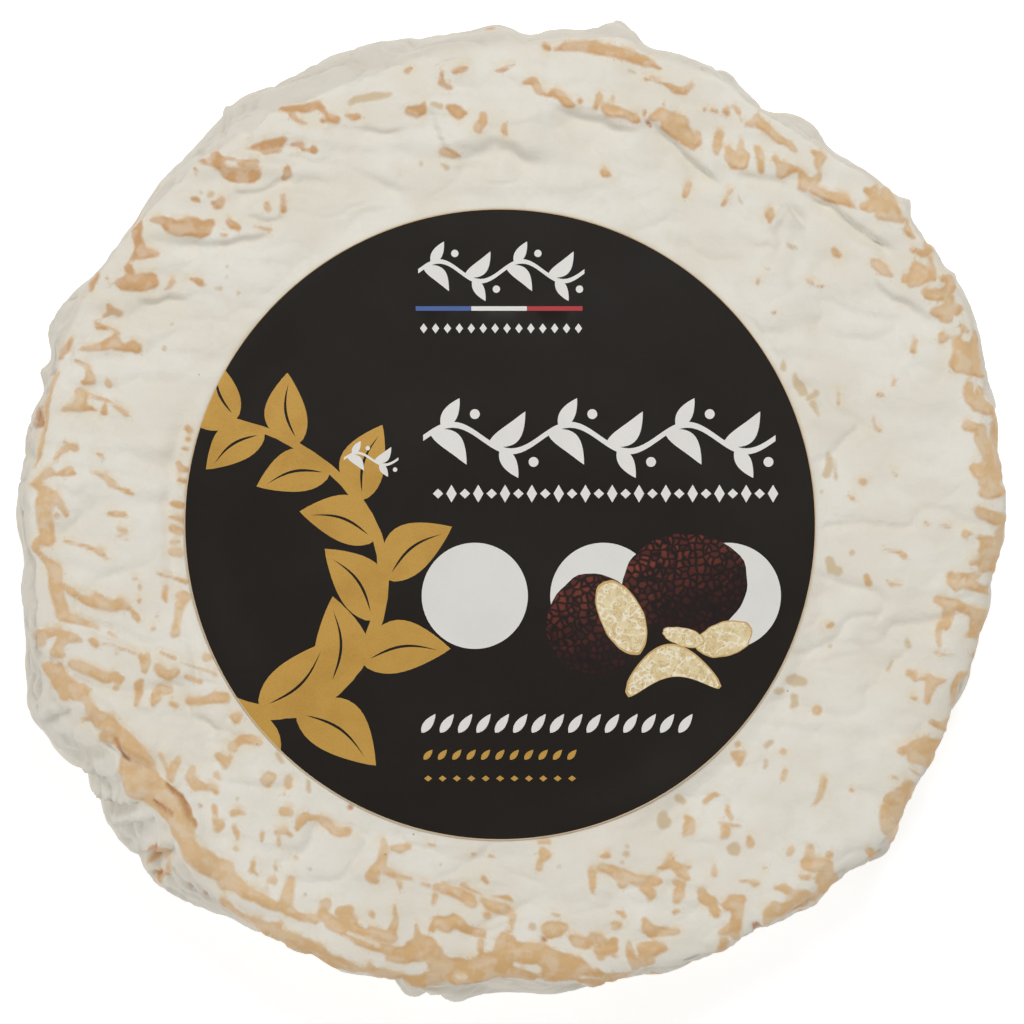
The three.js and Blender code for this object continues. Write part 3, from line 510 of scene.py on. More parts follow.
# Raised runs of the rim and rope-like ridges: (points, height, half-width).
RIDGES = [
    ([(-85, -39), (-82, -43), (-78, -47), (-74, -49.5), (-71, -53), (-67, -57.5), (-64, -62)], 1.7, 2.0),
    ([(-78, -51), (-75, -54.5), (-71, -57.5), (-68, -60.5), (-65, -65), (-62, -69.5), (-58, -72.5)],
     2.2, 2.2),
    ([(-55, -75.5), (-50, -78.5), (-45, -79.5)], 0.8, 2.2),
    ([(-57, -78.5), (-52, -82.6), (-46, -85), (-40, -88), (-34, -91), (-27, -92.4)], 0.8, 2.0),
    ([(61, 68), (66, 65), (72, 61.5), (78, 59), (82, 54)], 0.7, 3.0),
    ([(-72, 58), (-66, 57.5), (-60, 57.8)], 0.7, 2.2),
    ([(-79, 46), (-75, 46.2), (-72, 46.6)], 0.7, 2.2),
    ([(-14, 95.5), (-6, 96.2), (2, 95.8)], 0.7, 2.6),
    ([(-4, 79), (0, 80), (6, 80.5)], 0.7, 4.0),
    ([(53.6, 57.8), (55.3, 59.8), (57, 57.6)], 0.5, 1.8),
    ([(-67.4, -16), (-68.2, -5), (-68.2, 5), (-67, 18)], -0.8, 1.9),
]

EDGE_SOFTNESS = 6.0  # how far in from the rim the top starts to turn down
CRISPNESS = 0.45  # the share of that softness which a crisp edge loses
# The top edge is crisper over these stretches: degrees at the middle, half-length in degrees.
CRISP_EDGES = [(125, 22), (297, 14), (215, 10), (55, 12)]
EDGE_FALL = 0.8  # how far down the wall the rounded edge ends, as a share of its softness
KNEE_RISE = 7.0  # how far above the widest line the wall starts to turn in

# Soft swells of the whole surface: (height, size, seed).
SWELLS = [(0.7, 34, 91), (0.8, 13, 93), (0.34, 6, 95)]
MAT_PITCH = 7.4  # from one ridge of the draining mat to the next
MAT_HEIGHT = 0.46
# The stretch of the side that bulges out and is creased all over: middle and half-length in degrees.
BULGE_MIDDLE, BULGE_HALF = 214, 13
BULGE_CREASES = [(1.1, 7.5, 175), (0.4, 3.2, 177)]  # (height, size, seed)
WIDE_AND_LOW = [1, 1, 1.8]  # the stretch of the wall's small creases
STROKE_REACH = 3.0  # depths are cut off this far from a stroke's edge
LIP = 0.9  # how far below a point its worn depth is compared, to tell a patch's lower edge from its upper

SEAT = LABEL_RADIUS - 1.7  # the finely meshed top starts just inside the label's edge
COLUMNS = 768
TOP_ROWS = 64
EDGE_ROWS = 13
SIDE_ROWS = 26
FOOT_ROWS = 10

# The texture layout, in shares of its width. The top is a disc, which ends at LAST_TOP_ROW.
LAST_TOP_ROW = TOP_ROWS + EDGE_ROWS // 2
TOP_REACH = 36.0  # millimetres from the seat out to that row, about
TOP_DISC_RADIUS, TOP_DISC_CENTRE = 0.325, 0.335
STRIP_LOW, STRIP_PITCH, STRIP_HEIGHT, STRIP_MARGIN = 0.68, 0.16, 0.15, 0.01
FOOT_REACH = 100  # millimetres, the most that the underside reaches from its middle, about
FOOT_DISC_RADIUS, FOOT_DISC_CENTRE = 0.15, [0.84, 0.16]


def smooth(low, high, value):
    """A smooth step from 0 at low to 1 at high."""
    t = np.clip((value - low) / (high - low), 0, 1)
    return t * t * (3 - 2 * t)


def noise(points, size, seed, octaves=1):
    """Smooth random values of about -1 to 1 at an (n, 3) array of points, in lumps about size across."""
    cells = 32
    total = np.zeros(len(points))
    for octave in range(octaves):
        random = np.random.default_rng(seed + octave)
        turn = np.linalg.qr(random.normal(size=(3, 3)))[0]
        table = random.uniform(-1, 1, (cells, cells, cells))
        place = points @ turn * (2**octave / size)
        cell = np.floor(place).astype(int)
        t = place - cell
        t = t * t * t * (t * (t * 6 - 15) + 10)
        value = 0
        for corner in np.ndindex(2, 2, 2):
            share = np.prod(np.where(corner, t, 1 - t), axis=1)
            i, j, k = ((cell + corner) % cells).T
            value = value + share * table[i, j, k]
        total += value / 2**octave
    return total


def around(degrees, column):
    """A column of OUTLINE at any angle, by a smooth curve through its rows that closes on itself."""
    rows = np.array(OUTLINE)
    turn = np.array([360, 0, 0])
    rows = np.vstack([rows[-2:] - turn, rows, rows[:2] + turn])
    at, value = rows[:, 0], rows[:, column]
    slope = np.gradient(value, at)
    i = np.searchsorted(at, degrees, side="right") - 1
    span = at[i + 1] - at[i]
    t = (degrees - at[i]) / span
    leaving, arriving = slope[i] * span, slope[i + 1] * span
    rise = value[i + 1] - value[i]
    bend = 3 * rise - 2 * leaving - arriving
    twist = leaving + arriving - 2 * rise
    return value[i] + t * (leaving + t * (bend + t * twist))


def turn_from(degrees, middle):
    """The signed angle from middle, in -180 to 180."""
    return (degrees - middle + 180) % 360 - 180


def nearest_on_run(plan, points):
    """For plan points by a run of straight lines: distance, side (+1 left) and share of the way along."""
    best = np.full(len(plan), np.inf)
    side = np.zeros(len(plan))
    along = np.zeros(len(plan))
    run = np.array(points, float)
    lengths = np.linalg.norm(np.diff(run, axis=0), axis=1)
    starts = np.concatenate([[0], np.cumsum(lengths)])
    for start, end, before, length in zip(run, run[1:], starts, lengths):
        way = (end - start) / length
        offset = plan - start
        t = np.clip(offset @ way, 0, length)
        gap = offset - t[:, None] * way
        distance = np.hypot(gap[:, 0], gap[:, 1])
        closer = distance < best
        best[closer] = distance[closer]
        side[closer] = np.sign(way[0] * offset[:, 1] - way[1] * offset[:, 0])[closer]
        along[closer] = (before + t[closer]) / starts[-1]
    return best, side, along


def stroke_depth(plan, strokes):
    """How far plan points lie in from the nearest stroke's edge; negative outside the strokes."""
    depth = np.full(len(plan), -STROKE_REACH)
    for stroke in strokes:
        for start, end in zip(stroke, stroke[1:] or stroke):
            a, b = np.array(start[:2]), np.array(end[:2])
            reach = np.linalg.norm(b - a) / 2 + max(start[2], end[2]) + STROKE_REACH
            offset = plan - (a + b) / 2
            near = np.flatnonzero(np.abs(offset).max(axis=1) < reach)
            way = b - a
            squared = max(way @ way, 1e-9)  # a single disc has no length
            t = np.clip((plan[near] - a) @ way / squared, 0, 1)
            gap = plan[near] - a - t[:, None] * way
            inside = start[2] + t * (end[2] - start[2]) - np.hypot(gap[:, 0], gap[:, 1])
            depth[near] = np.maximum(depth[near], inside)
    return depth


# ---------------------------------------------------------------- the cheese


def profile_rows(degrees):
    """The undisturbed surface: an array (row, column, xyz), from the seat over the rim to the foot."""
    belly = around(degrees, 1)
    rim = around(degrees, 2)
    for middle, height, half in FLAKES:
        belly = belly + height * np.exp(-(turn_from(degrees, middle) / half) ** 2)
    crisp = sum(np.exp(-(turn_from(degrees, middle) / half) ** 2) for middle, half in CRISP_EDGES)
    softness = EDGE_SOFTNESS * (1 - CRISPNESS * np.clip(crisp, 0, 1))
    turn = np.radians(degrees)
    spoke = np.stack([np.cos(turn), np.sin(turn)], axis=1)

    def at(radius, height):
        return np.column_stack([spoke * radius[:, None] + PLAN_SHIFT, np.full(len(spoke), height)])

    start = at(rim - softness, TOP)
    corner = at(rim, TOP)
    knee = at(belly, BELLY_HEIGHT + KNEE_RISE)
    slope = knee - corner
    turned = corner + slope * (EDGE_FALL * softness / np.linalg.norm(slope, axis=1))[:, None]
    belly_line = at(belly, BELLY_HEIGHT)
    foot = at(belly - FOOT_INSET, 0.0)
    seat_edge = np.column_stack([LABEL_CENTRE + spoke * SEAT, np.full(len(spoke), TOP)])

    def bend(first, middle, last, count):
        """Rows along a smooth bend that starts towards the middle and arrives from it."""
        shares = np.linspace(0, 1, count + 1)[1:]
        return [(1 - t) ** 2 * first + 2 * t * (1 - t) * middle + t**2 * last for t in shares]

    rows = [seat_edge + (start - seat_edge) * share for share in np.linspace(0, 1, TOP_ROWS)]
    rows += bend(start, corner, turned, EDGE_ROWS)
    rows += bend(turned, knee, belly_line, SIDE_ROWS)
    for t in np.linspace(0, math.pi / 2, FOOT_ROWS + 1)[1:]:
        rows.append(foot + (belly_line - foot) * [math.cos(t), math.cos(t), 1 - math.sin(t)])
    return np.array(rows)


def surface_normals(rows):
    """Unit normals of a (row, column, xyz) surface that closes round its columns."""
    down = np.gradient(rows, axis=0)
    across = np.roll(rows, -1, axis=1) - np.roll(rows, 1, axis=1)
    normal = np.cross(down, across)
    return normal / np.linalg.norm(normal, axis=2, keepdims=True)


def crumpled(points, height, size, seed, stretch=(1, 1, 1), level=0.8):
    """Rounded pillows about size across with sharp creases between them. The height is from a crease to a
    crown, and level is the share of it that stays where the surface was."""
    pillow = 1 - np.exp(-5 * np.abs(noise(points * np.array(stretch), size, seed, 2)))
    return height * (pillow - level)


def fold_relief(plan):
    """Height from the folds and the ridges, in the plane of the top."""
    flat = plan_and_zero(plan)
    wander = 0.7 * np.column_stack([noise(flat, 5.5, 121, 2), noise(flat, 5.5, 131, 2)])
    place = plan + wander
    uneven = 0.45 + 0.85 * smooth(-0.5, 0.5, noise(flat, 9, 135))
    height = np.zeros(len(plan))
    for points, step, reach in FOLDS:
        distance, side, along = nearest_on_run(place, points)
        taper = smooth(0, 0.25, along) * smooth(1, 0.75, along)
        across = side * distance / reach
        spread = np.where(across > 0, 1.8, 1.1)
        lip = np.tanh(across * min(5, 12 / reach)) * np.exp(-(across / spread) ** 2)
        groove = 0.3 * np.exp(-((across + 0.12) * 5) ** 2)
        height += step * taper * uneven * (lip - groove)
    for points, rise, half in RIDGES:
        distance, _, along = nearest_on_run(place, points)
        taper = 0.35 + 0.65 * smooth(0, 0.2, along) * smooth(1, 0.8, along)
        height += rise * taper * np.exp(-(distance / half) ** 2)
    return height


def mat_ridges(points):
    """The low broken ridges that the draining mat left, sloping slightly down to the right."""
    x, y = points.T[:2]
    bent = y + 0.07 * x + 1.6 * noise(points, 26, 11)
    line = np.cos(TAU * bent / MAT_PITCH)
    broken = smooth(-0.3, 0.6, noise(points * [0.45, 1, 1], 7, 17, 2))
    strength = 0.35 + 0.65 * smooth(10, -60, x) * smooth(-40, 10, y) + 0.35 * smooth(40, 75, y)
    return MAT_HEIGHT * line * broken * strength


def worn_depths(points, plan, upward):
    """The signed distances that the rind's colours are cut from, and the lip: +1 at a worn patch's lower edge
    and -1 at its upper edge. Low down and on steep walls, where no stroke is placed, scattered streaks take
    over."""
    wobble = 0.22 * np.column_stack([noise(points, 2.6, 31, 2), noise(points, 2.6, 41, 2)])
    place = plan + wobble
    worn = stroke_depth(place, WORN)
    worn = np.minimum(worn, -stroke_depth(place, BLOOM_LEFT))
    lip = (worn - stroke_depth(place - [0, LIP], WORN)) / LIP
    thin = stroke_depth(place, THIN)
    browned = stroke_depth(place, BROWNED)
    streaks = noise(points * [1, 1, 2.2], 8.5, 51, 3) + 0.45 * noise(points * [1, 1, 3.4], 30, 57)
    scattered = 2.6 * (streaks - 0.76)
    creases = 2.2 * (noise(points * [1, 1, 2.5], 16, 61, 3) - 1.12)
    height = points[:, 2]
    low = smooth(15, 8, height)
    steep = smooth(0.24, 0.1, upward) * smooth(31, 24, height)
    unplaced = np.maximum(low, steep)
    worn = worn + (scattered - worn) * unplaced
    browned = browned + (creases - browned) * unplaced
    depths = {"worn": worn, "thin": thin, "browned": browned}
    values = {name: np.clip(depth, -STROKE_REACH, STROKE_REACH) for name, depth in depths.items()}
    values["lip"] = np.clip(lip * (1 - unplaced), -1, 1)
    return values


def plan_and_zero(plan):
    return np.column_stack([plan, np.zeros(len(plan))])


def seat_relief(plan):
    """The slight waves of the level top under the label."""
    return 0.16 * noise(plan_and_zero(plan), 24, 81)


def patch_relief(worn, lip):
    """The bloom round a worn patch: a soft pad beside it, a dip along its upper edge, and a step along its
    lower edge."""
    lower, upper = np.clip(lip, 0, 1), np.clip(-lip, 0, 1)
    pad = 0.16 * np.exp(-((np.minimum(worn, 0) / 1.9) ** 2))
    dip = 0.1 * smooth(-0.15, 0.2, worn) * upper
    crest = 0.16 * np.exp(-(((worn - 0.6) / 1.0) ** 2))
    groove = 0.24 * np.exp(-(((worn + 0.45) / 0.4) ** 2))
    return pad - dip + lower * (crest - groove)


def top_relief(points, plan, on_side, values):
    """The relief of the top and the rim: folds, ridges, pillows, worn patches and browned cracks."""
    rumpled = smooth(-0.5, 0.4, noise(points, 24, 107))
    finely_rumpled = smooth(-0.1, 0.5, noise(points, 15, 157))
    pillows = rumpled * crumpled(points, 1.15, 9, 151, [0.55, 1, 1])
    pillows += finely_rumpled * crumpled(points, 0.45, 4.2, 155, [0.6, 1, 1])
    cracks = -1.1 * smooth(-0.5, 0.5, values["browned"])
    placed = fold_relief(plan) + patch_relief(values["worn"], values["lip"])
    above_foot = smooth(6, 14, points[:, 2])
    return placed * above_foot + (mat_ridges(points) + pillows) * (1 - on_side) + cracks


def wall_relief(points, upward, bulging):
    """The relief of the side: creases of three sizes, and more on the bulging stretch. It is held back where
    the wall is steep and along the widest line, so that the outline keeps its place."""
    wall = 0.9 * noise(points * [1, 1, 1.6], 16, 101, 2)
    wall += crumpled(points, 1.3, 12, 161, [1, 1, 1.5], 0.75)
    wall += crumpled(points, 0.95, 6, 165, WIDE_AND_LOW, 0.75) * smooth(-0.6, 0.3, noise(points, 18, 167))
    wall += crumpled(points, 0.35, 2.8, 169, WIDE_AND_LOW, 0.75)
    for height, size, seed in BULGE_CREASES:
        wall += bulging * crumpled(points, height, size, seed, [0.75, 0.75, 1])
    wall -= 0.6 * smooth(0.2, 0.05, upward)
    return wall * (1 - 0.7 * np.exp(-(((points[:, 2] - BELLY_HEIGHT) / 3.5) ** 2)))


def cheese_rows():
    """The finished surface as rows of points, and the rind's attributes at each point."""
    degrees = np.arange(COLUMNS) * 360 / COLUMNS
    rows = profile_rows(degrees)
    normals = surface_normals(rows).reshape(-1, 3)
    points = rows.reshape(-1, 3)
    plan = points[:, :2] - PLAN_SHIFT
    upward = np.clip(normals[:, 2], 0, 1)
    on_side = smooth(0.75, 0.35, upward)
    values = worn_depths(points, plan, upward)
    bearing = np.degrees(np.arctan2(plan[:, 1], plan[:, 0]))
    bulging = np.exp(-((turn_from(bearing, BULGE_MIDDLE) / BULGE_HALF) ** 4))
    # Painted shade: "side" greys the bloom's colour on the steep wall, a little less on the bulging stretch.
    values["side"] = on_side * (1 - 0.45 * bulging)

    from_label = np.linalg.norm(points[:, :2] - LABEL_CENTRE, axis=1) - LABEL_RADIUS
    swell = sum(height * noise(points, size, seed) for height, size, seed in SWELLS)
    bare = smooth(-0.1, 0.3, values["worn"])
    fine = 0.07 * noise(points, 2.6, 97, 2) * (1 - 0.5 * bare)
    dip = -0.35 * np.exp(-(((from_label - 2.5) / 2.2) ** 2))
    open_top = smooth(-1, 4, from_label)
    lift = open_top * (top_relief(points, plan, on_side, values) + swell + fine + dip)
    lift += on_side * wall_relief(points, upward, bulging)
    lift += (1 - open_top) * seat_relief(plan)
    lift *= smooth(0, 7, points[:, 2])
    points = points + normals * lift[:, None]
    points[:, 2] = np.maximum(points[:, 2], 0)
    return points.reshape(rows.shape), values


def closing_fan(vertices, faces, ring, centre, outward):
    """Closes a ring of vertex numbers with ever coarser rings; outward is +1 on top and -1 underneath."""
    levels = 6
    step = 1 / (levels + 1)
    height = np.mean([vertices[i][2] for i in ring])
    middle = np.array([*centre, height])
    first = np.array([vertices[i] for i in ring])
    for level in range(1, levels + 1):
        half = ring[::2]
        places = first[:: 2**level] * (1 - level * step) + middle * level * step
        start = len(vertices)
        vertices.extend(places.tolist())
        inner = list(range(start, start + len(half)))
        for i, new in enumerate(inner):
            near, mid, far = ring[2 * i], ring[2 * i + 1], ring[(2 * i + 2) % len(ring)]
            following = inner[(i + 1) % len(inner)]
            for face in ((near, mid, new), (mid, far, following), (mid, following, new)):
                faces.append(face[::outward])
        ring = inner
    vertices.append(middle.tolist())
    for i, here in enumerate(ring):
        face = (here, ring[(i + 1) % len(ring)], len(vertices) - 1)
        faces.append(face[::outward])


def make_bake_map(mesh, count):
    """A texture layout for export: the top is a disc, the side two strips, the underside a small disc."""
    corners = np.empty(len(mesh.loops), int)
    mesh.loops.foreach_get("vertex_index", corners)
    places = np.empty(len(mesh.vertices) * 3)
    mesh.vertices.foreach_get("co", places)
    plan = places.reshape(-1, 3)[:, :2] / MM - LABEL_CENTRE
    quads = (count - 1) * COLUMNS

    top_scale = TOP_DISC_RADIUS / (SEAT + TOP_REACH)
    row, column = np.divmod(np.arange(count * COLUMNS), COLUMNS)
    turn = TAU * column / COLUMNS
    radius = SEAT + TOP_REACH * row / LAST_TOP_ROW
    flat = plan.copy()
    flat[:len(row)] = np.column_stack([np.cos(turn), np.sin(turn)]) * radius[:, None]
    uv = flat[corners] * top_scale + TOP_DISC_CENTRE

    face = np.arange(quads * 4) // 4
    corner = np.arange(quads * 4) % 4
    face_row, face_column = np.divmod(face, COLUMNS)
    half = COLUMNS // 2
    along = (face_column % half + (corner >= 2)) / half
    down = (face_row + ((corner == 1) | (corner == 2)) - LAST_TOP_ROW) / (count - 1 - LAST_TOP_ROW)
    u = STRIP_MARGIN + (1 - 2 * STRIP_MARGIN) * along
    v = STRIP_LOW + STRIP_PITCH * (face_column // half) + STRIP_HEIGHT * down
    strip = np.column_stack([u, v])
    on_strip = np.flatnonzero(face_row >= LAST_TOP_ROW)
    uv[on_strip] = strip[on_strip]

    fan = (len(uv) - quads * 4) // 2
    under = plan[corners[-fan:]] + LABEL_CENTRE
    uv[-fan:] = under * FOOT_DISC_RADIUS / FOOT_REACH + FOOT_DISC_CENTRE
    layer = mesh.uv_layers.new(name="OFBake")
    layer.data.foreach_set("uv", uv.astype(np.float32).ravel())


def surface_faces(count):
    """The quads between the surface's rows, which close round its columns."""
    faces = []
    for row in range(count - 1):
        here, below = row * COLUMNS, (row + 1) * COLUMNS
        for column in range(COLUMNS):
            after = (column + 1) % COLUMNS
            faces.append((here + column, below + column, below + after, here + after))
    return faces


def add_object(name, data):
    """A new object in the scene."""
    added = bpy.data.objects.new(name, data)
    bpy.context.scene.collection.objects.link(added)
    return added


def make_cheese():
    rows, values = cheese_rows()
    count = len(rows)
    vertices = rows.reshape(-1, 3).tolist()
    faces = surface_faces(count)
    first_ring = list(range(COLUMNS))
    last_ring = list(range((count - 1) * COLUMNS, count * COLUMNS))
    closing_fan(vertices, faces, first_ring, LABEL_CENTRE, 1)
    closing_fan(vertices, faces, last_ring, PLAN_SHIFT, -1)
    mesh = bpy.data.meshes.new("rind")
    mesh.from_pydata((np.array(vertices) * MM).tolist(), [], faces)
    for name, value in values.items():
        # Under the label and the foot, a depth is as far outside its strokes as it can be.
        outside = value.min() if name in ("worn", "thin", "browned") else 0
        padded = np.concatenate([value, np.full(len(vertices) - len(value), outside)])
        attribute = mesh.attributes.new(name, "FLOAT", "POINT")
        attribute.data.foreach_set("value", padded.astype(np.float32))
    make_bake_map(mesh, count)
    mesh.shade_smooth()
    return add_object("bloomy_rind_cheese", mesh)


# ---------------------------------------------------------------- node helpers


class Nodes:
    """A short way to write a material's node tree."""

    def __init__(self, name):
        self.material = bpy.data.materials.new(name)
        self.material.use_nodes = True
        self.tree = self.material.node_tree
        self.shader = self.tree.nodes["Principled BSDF"]

    def add(self, kind, inputs=None, **settings):
        node = self.tree.nodes.new("ShaderNode" + kind)
        for key, value in settings.items():
            setattr(node, key, value)
        for key, value in (inputs or {}).items():
            self.put(node.inputs[key], value)
        return node

    def put(self, socket, value):
        if isinstance(value, bpy.types.NodeSocket):
            self.tree.links.new(value, socket)
        else:
            socket.default_value = value

    def millimetres(self):
        """The object's own coordinates, in millimetres."""
        coordinates = self.add("TexCoord").outputs["Object"]
        return self.scaled(coordinates, (1 / MM, 1 / MM, 1 / MM))

    def scaled(self, vector, factors):
        return self.add("VectorMath", {0: vector, 1: factors}, operation="MULTIPLY").outputs[0]

    def along(self, vector, direction):
        """How far a vector reaches in a direction."""
        return self.add("VectorMath", {0: vector, 1: direction}, operation="DOT_PRODUCT").outputs["Value"]

    def noise(self, place, size, detail=2.0, roughness=0.5):
        """Noise with lumps about size millimetres across."""
        inputs = {"Vector": place, "Scale": 1 / size, "Detail": detail, "Roughness": roughness}
        return self.add("TexNoise", inputs).outputs["Fac"]

    def noise_vector(self, place, size):
        return self.add("TexNoise", {"Vector": place, "Scale": 1 / size}).outputs["Color"]

    def math(self, operation, a, b=0.0):
        return self.add("Math", {0: a, 1: b}, operation=operation).outputs[0]

    def total(self, a, b):
        return self.math("ADD", a, b)

    def product(self, a, b):
        return self.math("MULTIPLY", a, b)

    def less(self, a, b):
        return self.math("SUBTRACT", a, b)

    def step(self, value, low, high, start=0.0, end=1.0):
        """A smooth step of value from start to end."""
        inputs = {"Value": value, "From Min": low, "From Max": high, "To Min": start, "To Max": end}
        return self.add("MapRange", inputs, interpolation_type="SMOOTHSTEP").outputs["Result"]

    def mix(self, share, a, b):
        node = self.add("Mix", data_type="RGBA")
        self.put(node.inputs[0], share)
        self.put(node.inputs[6], a)
        self.put(node.inputs[7], b)
        return node.outputs[2]

    def attribute(self, name):
        return self.add("Attribute", attribute_name=name).outputs["Fac"]

    def bump(self, height, depth):
        """A bump whose height of 1 stands depth millimetres proud."""
        node = self.add("Bump", {"Height": height, "Distance": depth * MM, "Strength": 1.0})
        self.put(self.shader.inputs["Normal"], node.outputs[0])

    def set(self, **inputs):
        for name, value in inputs.items():
            self.put(self.shader.inputs[name.replace("_", " ")], value)


def srgb(red, green, blue):
    """A colour given as 0-255 display values, as the linear numbers that a shader takes."""
    def linear(value):
        value /= 255
        return value / 12.92 if value <= 0.04045 else ((value + 0.055) / 1.055) ** 2.4
    return (linear(red), linear(green), linear(blue), 1.0)


class Rind(Nodes):
    """The rind's node tree, with the places, attributes and noises that its masks and colours share."""

    def __init__(self):
        super().__init__("bloomy_rind")
        self.place = self.millimetres()
        self.depth = self.attribute("worn")
        self.lip = self.attribute("lip")
        self.ragged = self.product(self.less(self.noise(self.place, 1.6, 4.0, 0.6), 0.5), 0.8)
        self.cloud = self.noise(self.place, 14, 3.0)
        self.blotch = self.noise(self.place, 4.5, 3.0, 0.6)
        self.grain = self.noise(self.place, 0.5, 3.0, 0.7)
        self.edge = self.total(self.depth, self.ragged)

    def worn_masks(self):
        """Where the bloom is worn off, where it fades above a worn patch, and where a patch tints it."""
        worn = self.step(self.edge, -0.42, 0.36)
        crumbs = self.step(self.noise(self.place, 0.9, 2.0, 0.6), 0.62, 0.68)
        crumbs = self.product(crumbs, self.step(self.depth, -1.4, -0.3, 0.0, 0.4))
        worn = self.math("MAXIMUM", worn, crumbs)
        faded = self.step(self.noise(self.place, 3.2, 2.0), 0.42, 0.62)
        above = self.product(self.step(self.edge, -1.4, 0.0, 0.0, 0.5), self.step(self.lip, -0.1, -0.8))
        above = self.product(above, faded)
        worn = self.product(worn, self.less(1.0, self.product(faded, 0.3)))
        near = self.product(self.step(self.depth, -2.2, -0.3, 0.0, 0.28), self.step(self.blotch, 0.42, 0.62))
        return worn, above, near

    def stained(self, name, low, high, most=1.0):
        """The mask of the strokes kept in the attribute called name."""
        return self.step(self.total(self.attribute(name), self.ragged), low, high, 0.0, most)

    def bloom_colour(self, near):
        """White, warmer in blotches, greyed on the side by painted shade, and yellowed near worn patches."""
        white = self.mix(self.step(self.cloud, 0.35, 0.68), srgb(228, 222, 208), srgb(233, 229, 218))
        white = self.mix(self.step(self.blotch, 0.5, 0.78, 0.0, 0.5), white, srgb(223, 216, 199))
        # Painted shade: the bloom on the wall is mixed towards a grey.
        white = self.mix(self.product(self.attribute("side"), 0.85), white, srgb(213, 206, 193))
        return self.mix(near, white, srgb(231, 216, 186))

    def bare_colour(self):
        """Tan, paler inside large patches, browner at the upper left, the front and patches' lower edges."""
        tan = self.mix(self.step(self.cloud, 0.3, 0.7), srgb(212, 173, 123), srgb(219, 186, 140))
        tan = self.mix(self.step(self.blotch, 0.35, 0.85, 0.0, 0.8), tan, srgb(220, 190, 150))
        tan = self.mix(self.step(self.depth, 0.5, 2.4, 0.0, 0.4), tan, srgb(223, 192, 149))
        across_top = self.add("SeparateXYZ", {"Vector": self.place}).outputs["Y"]
        upper_left = self.along(self.place, (-0.5, 0.85, 0))
        tan = self.mix(self.step(upper_left, 58, 84, 0.0, 0.75), tan, srgb(201, 154, 105))
        tan = self.mix(self.step(across_top, -74, -92, 0.0, 0.5), tan, srgb(206, 164, 108))
        rim = self.product(self.step(self.lip, 0.0, 0.9, 0.15, 0.75), self.step(self.edge, 1.1, 0.1))
        rim = self.product(rim, self.step(across_top, -50, 40, 0.3, 1.0))
        tan = self.mix(rim, tan, srgb(202, 152, 100))
        return self.mix(self.step(self.grain, 0.5, 0.8, 0.0, 0.25), tan, srgb(212, 170, 124))

    def specks(self):
        """The mask of a few small dark dots, which fall on the top only."""
        flat = self.scaled(self.place, (1, 1, 0))
        dots = self.add("TexVoronoi", {"Vector": flat, "Scale": 0.16, "Randomness": 1.0}, feature="F1")
        dot = self.step(self.total(dots.outputs["Distance"], self.product(self.grain, 0.035)), 0.06, 0.04)
        random = self.add("SeparateColor", {"Color": dots.outputs["Color"]}).outputs[0]
        rare = self.step(random, 0.72, 0.76)
        rare = self.product(rare, self.step(self.attribute("side"), 0.5, 0.1, 0.0, 0.65))
        return self.product(dot, rare)

    def velvet(self, worn):
        """The height of the bloom's nap and fine wrinkles, lower and smoother where it is worn."""
        nap = self.product(self.less(1.0, self.product(worn, 0.6)), self.grain)
        wrinkles = self.product(self.noise(self.place, 1.8, 3.0, 0.6), 1.6)
        height = self.total(self.product(nap, 0.35), wrinkles)
        return self.less(height, self.product(worn, 0.25))


def rind_material():
    """White bloom with worn places, thin veils, browned folds, small specks and painted shade on the wall."""
    n = Rind()
    worn, above, near = n.worn_masks()
    thin = n.stained("thin", -0.35, 0.45, 0.62)
    browned = n.stained("browned", -0.5, 0.3)
    white = n.bloom_colour(near)
    tan = n.bare_colour()
    brown = n.mix(n.step(n.blotch, 0.35, 0.7), srgb(190, 130, 78), srgb(204, 154, 102))
    colour = n.mix(thin, white, srgb(198, 166, 112))
    colour = n.mix(above, colour, srgb(226, 198, 156))
    colour = n.mix(worn, colour, tan)
    colour = n.mix(n.product(browned, 0.85), colour, brown)
    colour = n.mix(n.specks(), colour, srgb(150, 124, 88))
    n.set(Base_Color=colour, Roughness=n.step(worn, 0.0, 1.0, 0.72, 0.45))
    n.set(Sheen_Weight=0.12, Sheen_Roughness=0.5, Specular_IOR_Level=0.35)
    n.bump(n.velvet(worn), 0.14)
    return n.material


# ---------------------------------------------------------------- the printed label

PAPER_THICKNESS = 0.26
PAPER_CLEARANCE = 0.12
BARE_MARGIN = 0.22  # unprinted paper showing along the cut edge
LABEL_EDGE_POINTS = 300
DRAPE_SPACING = 2.6
SHARP_ANGLE = 40  # degrees; the cut edge is sharper than this
# Stretches where the edge lifts a little: (degrees at the middle, half-length in degrees, height).
LIFTED_EDGES = [(172, 32, 0.75), (300, 20, 0.3)]

# The printing, about the label's middle.
BRANCH_SPINE = [(-58, -35), (-46, -38), (-33, -33), (-25, -20), (-24, -5), (-31, 8), (-43, 17), (-54, 21)]
GARLANDS = [(-16.5, 51, 33.5, 10, 4), (-15.5, 17.4, 71, 13.4, 6), (-31.5, 13.2, 11, 6, 2)]
RULE_INKS = ["blue_ink", "white_ink", "red_ink"]
PALE_DISCS = [(-5.1, -14.4), (20.8, -14.4), (45.9, -14.4)]
# Inks that differ in colour only: (ink, material, colour, colour of its mottle).
PLAIN_INKS = [
    ("white_ink", "white_ink", (230, 227, 222), (222, 219, 214)),
    ("pale_ink", "pale_grey_ink", (225, 223, 217), (220, 217, 211)),
    ("blue_ink", "blue_ink", (64, 96, 160), (58, 88, 150)),
    ("red_ink", "red_ink", (178, 38, 44), (166, 34, 40)),
    ("truffle_rim", "cream_ink", (208, 172, 106), (188, 148, 86)),
]


def disc(x, y, radius, count=48):
    turn = np.arange(count) * TAU / count
    return np.column_stack([x + radius * np.cos(turn), y + radius * np.sin(turn)])


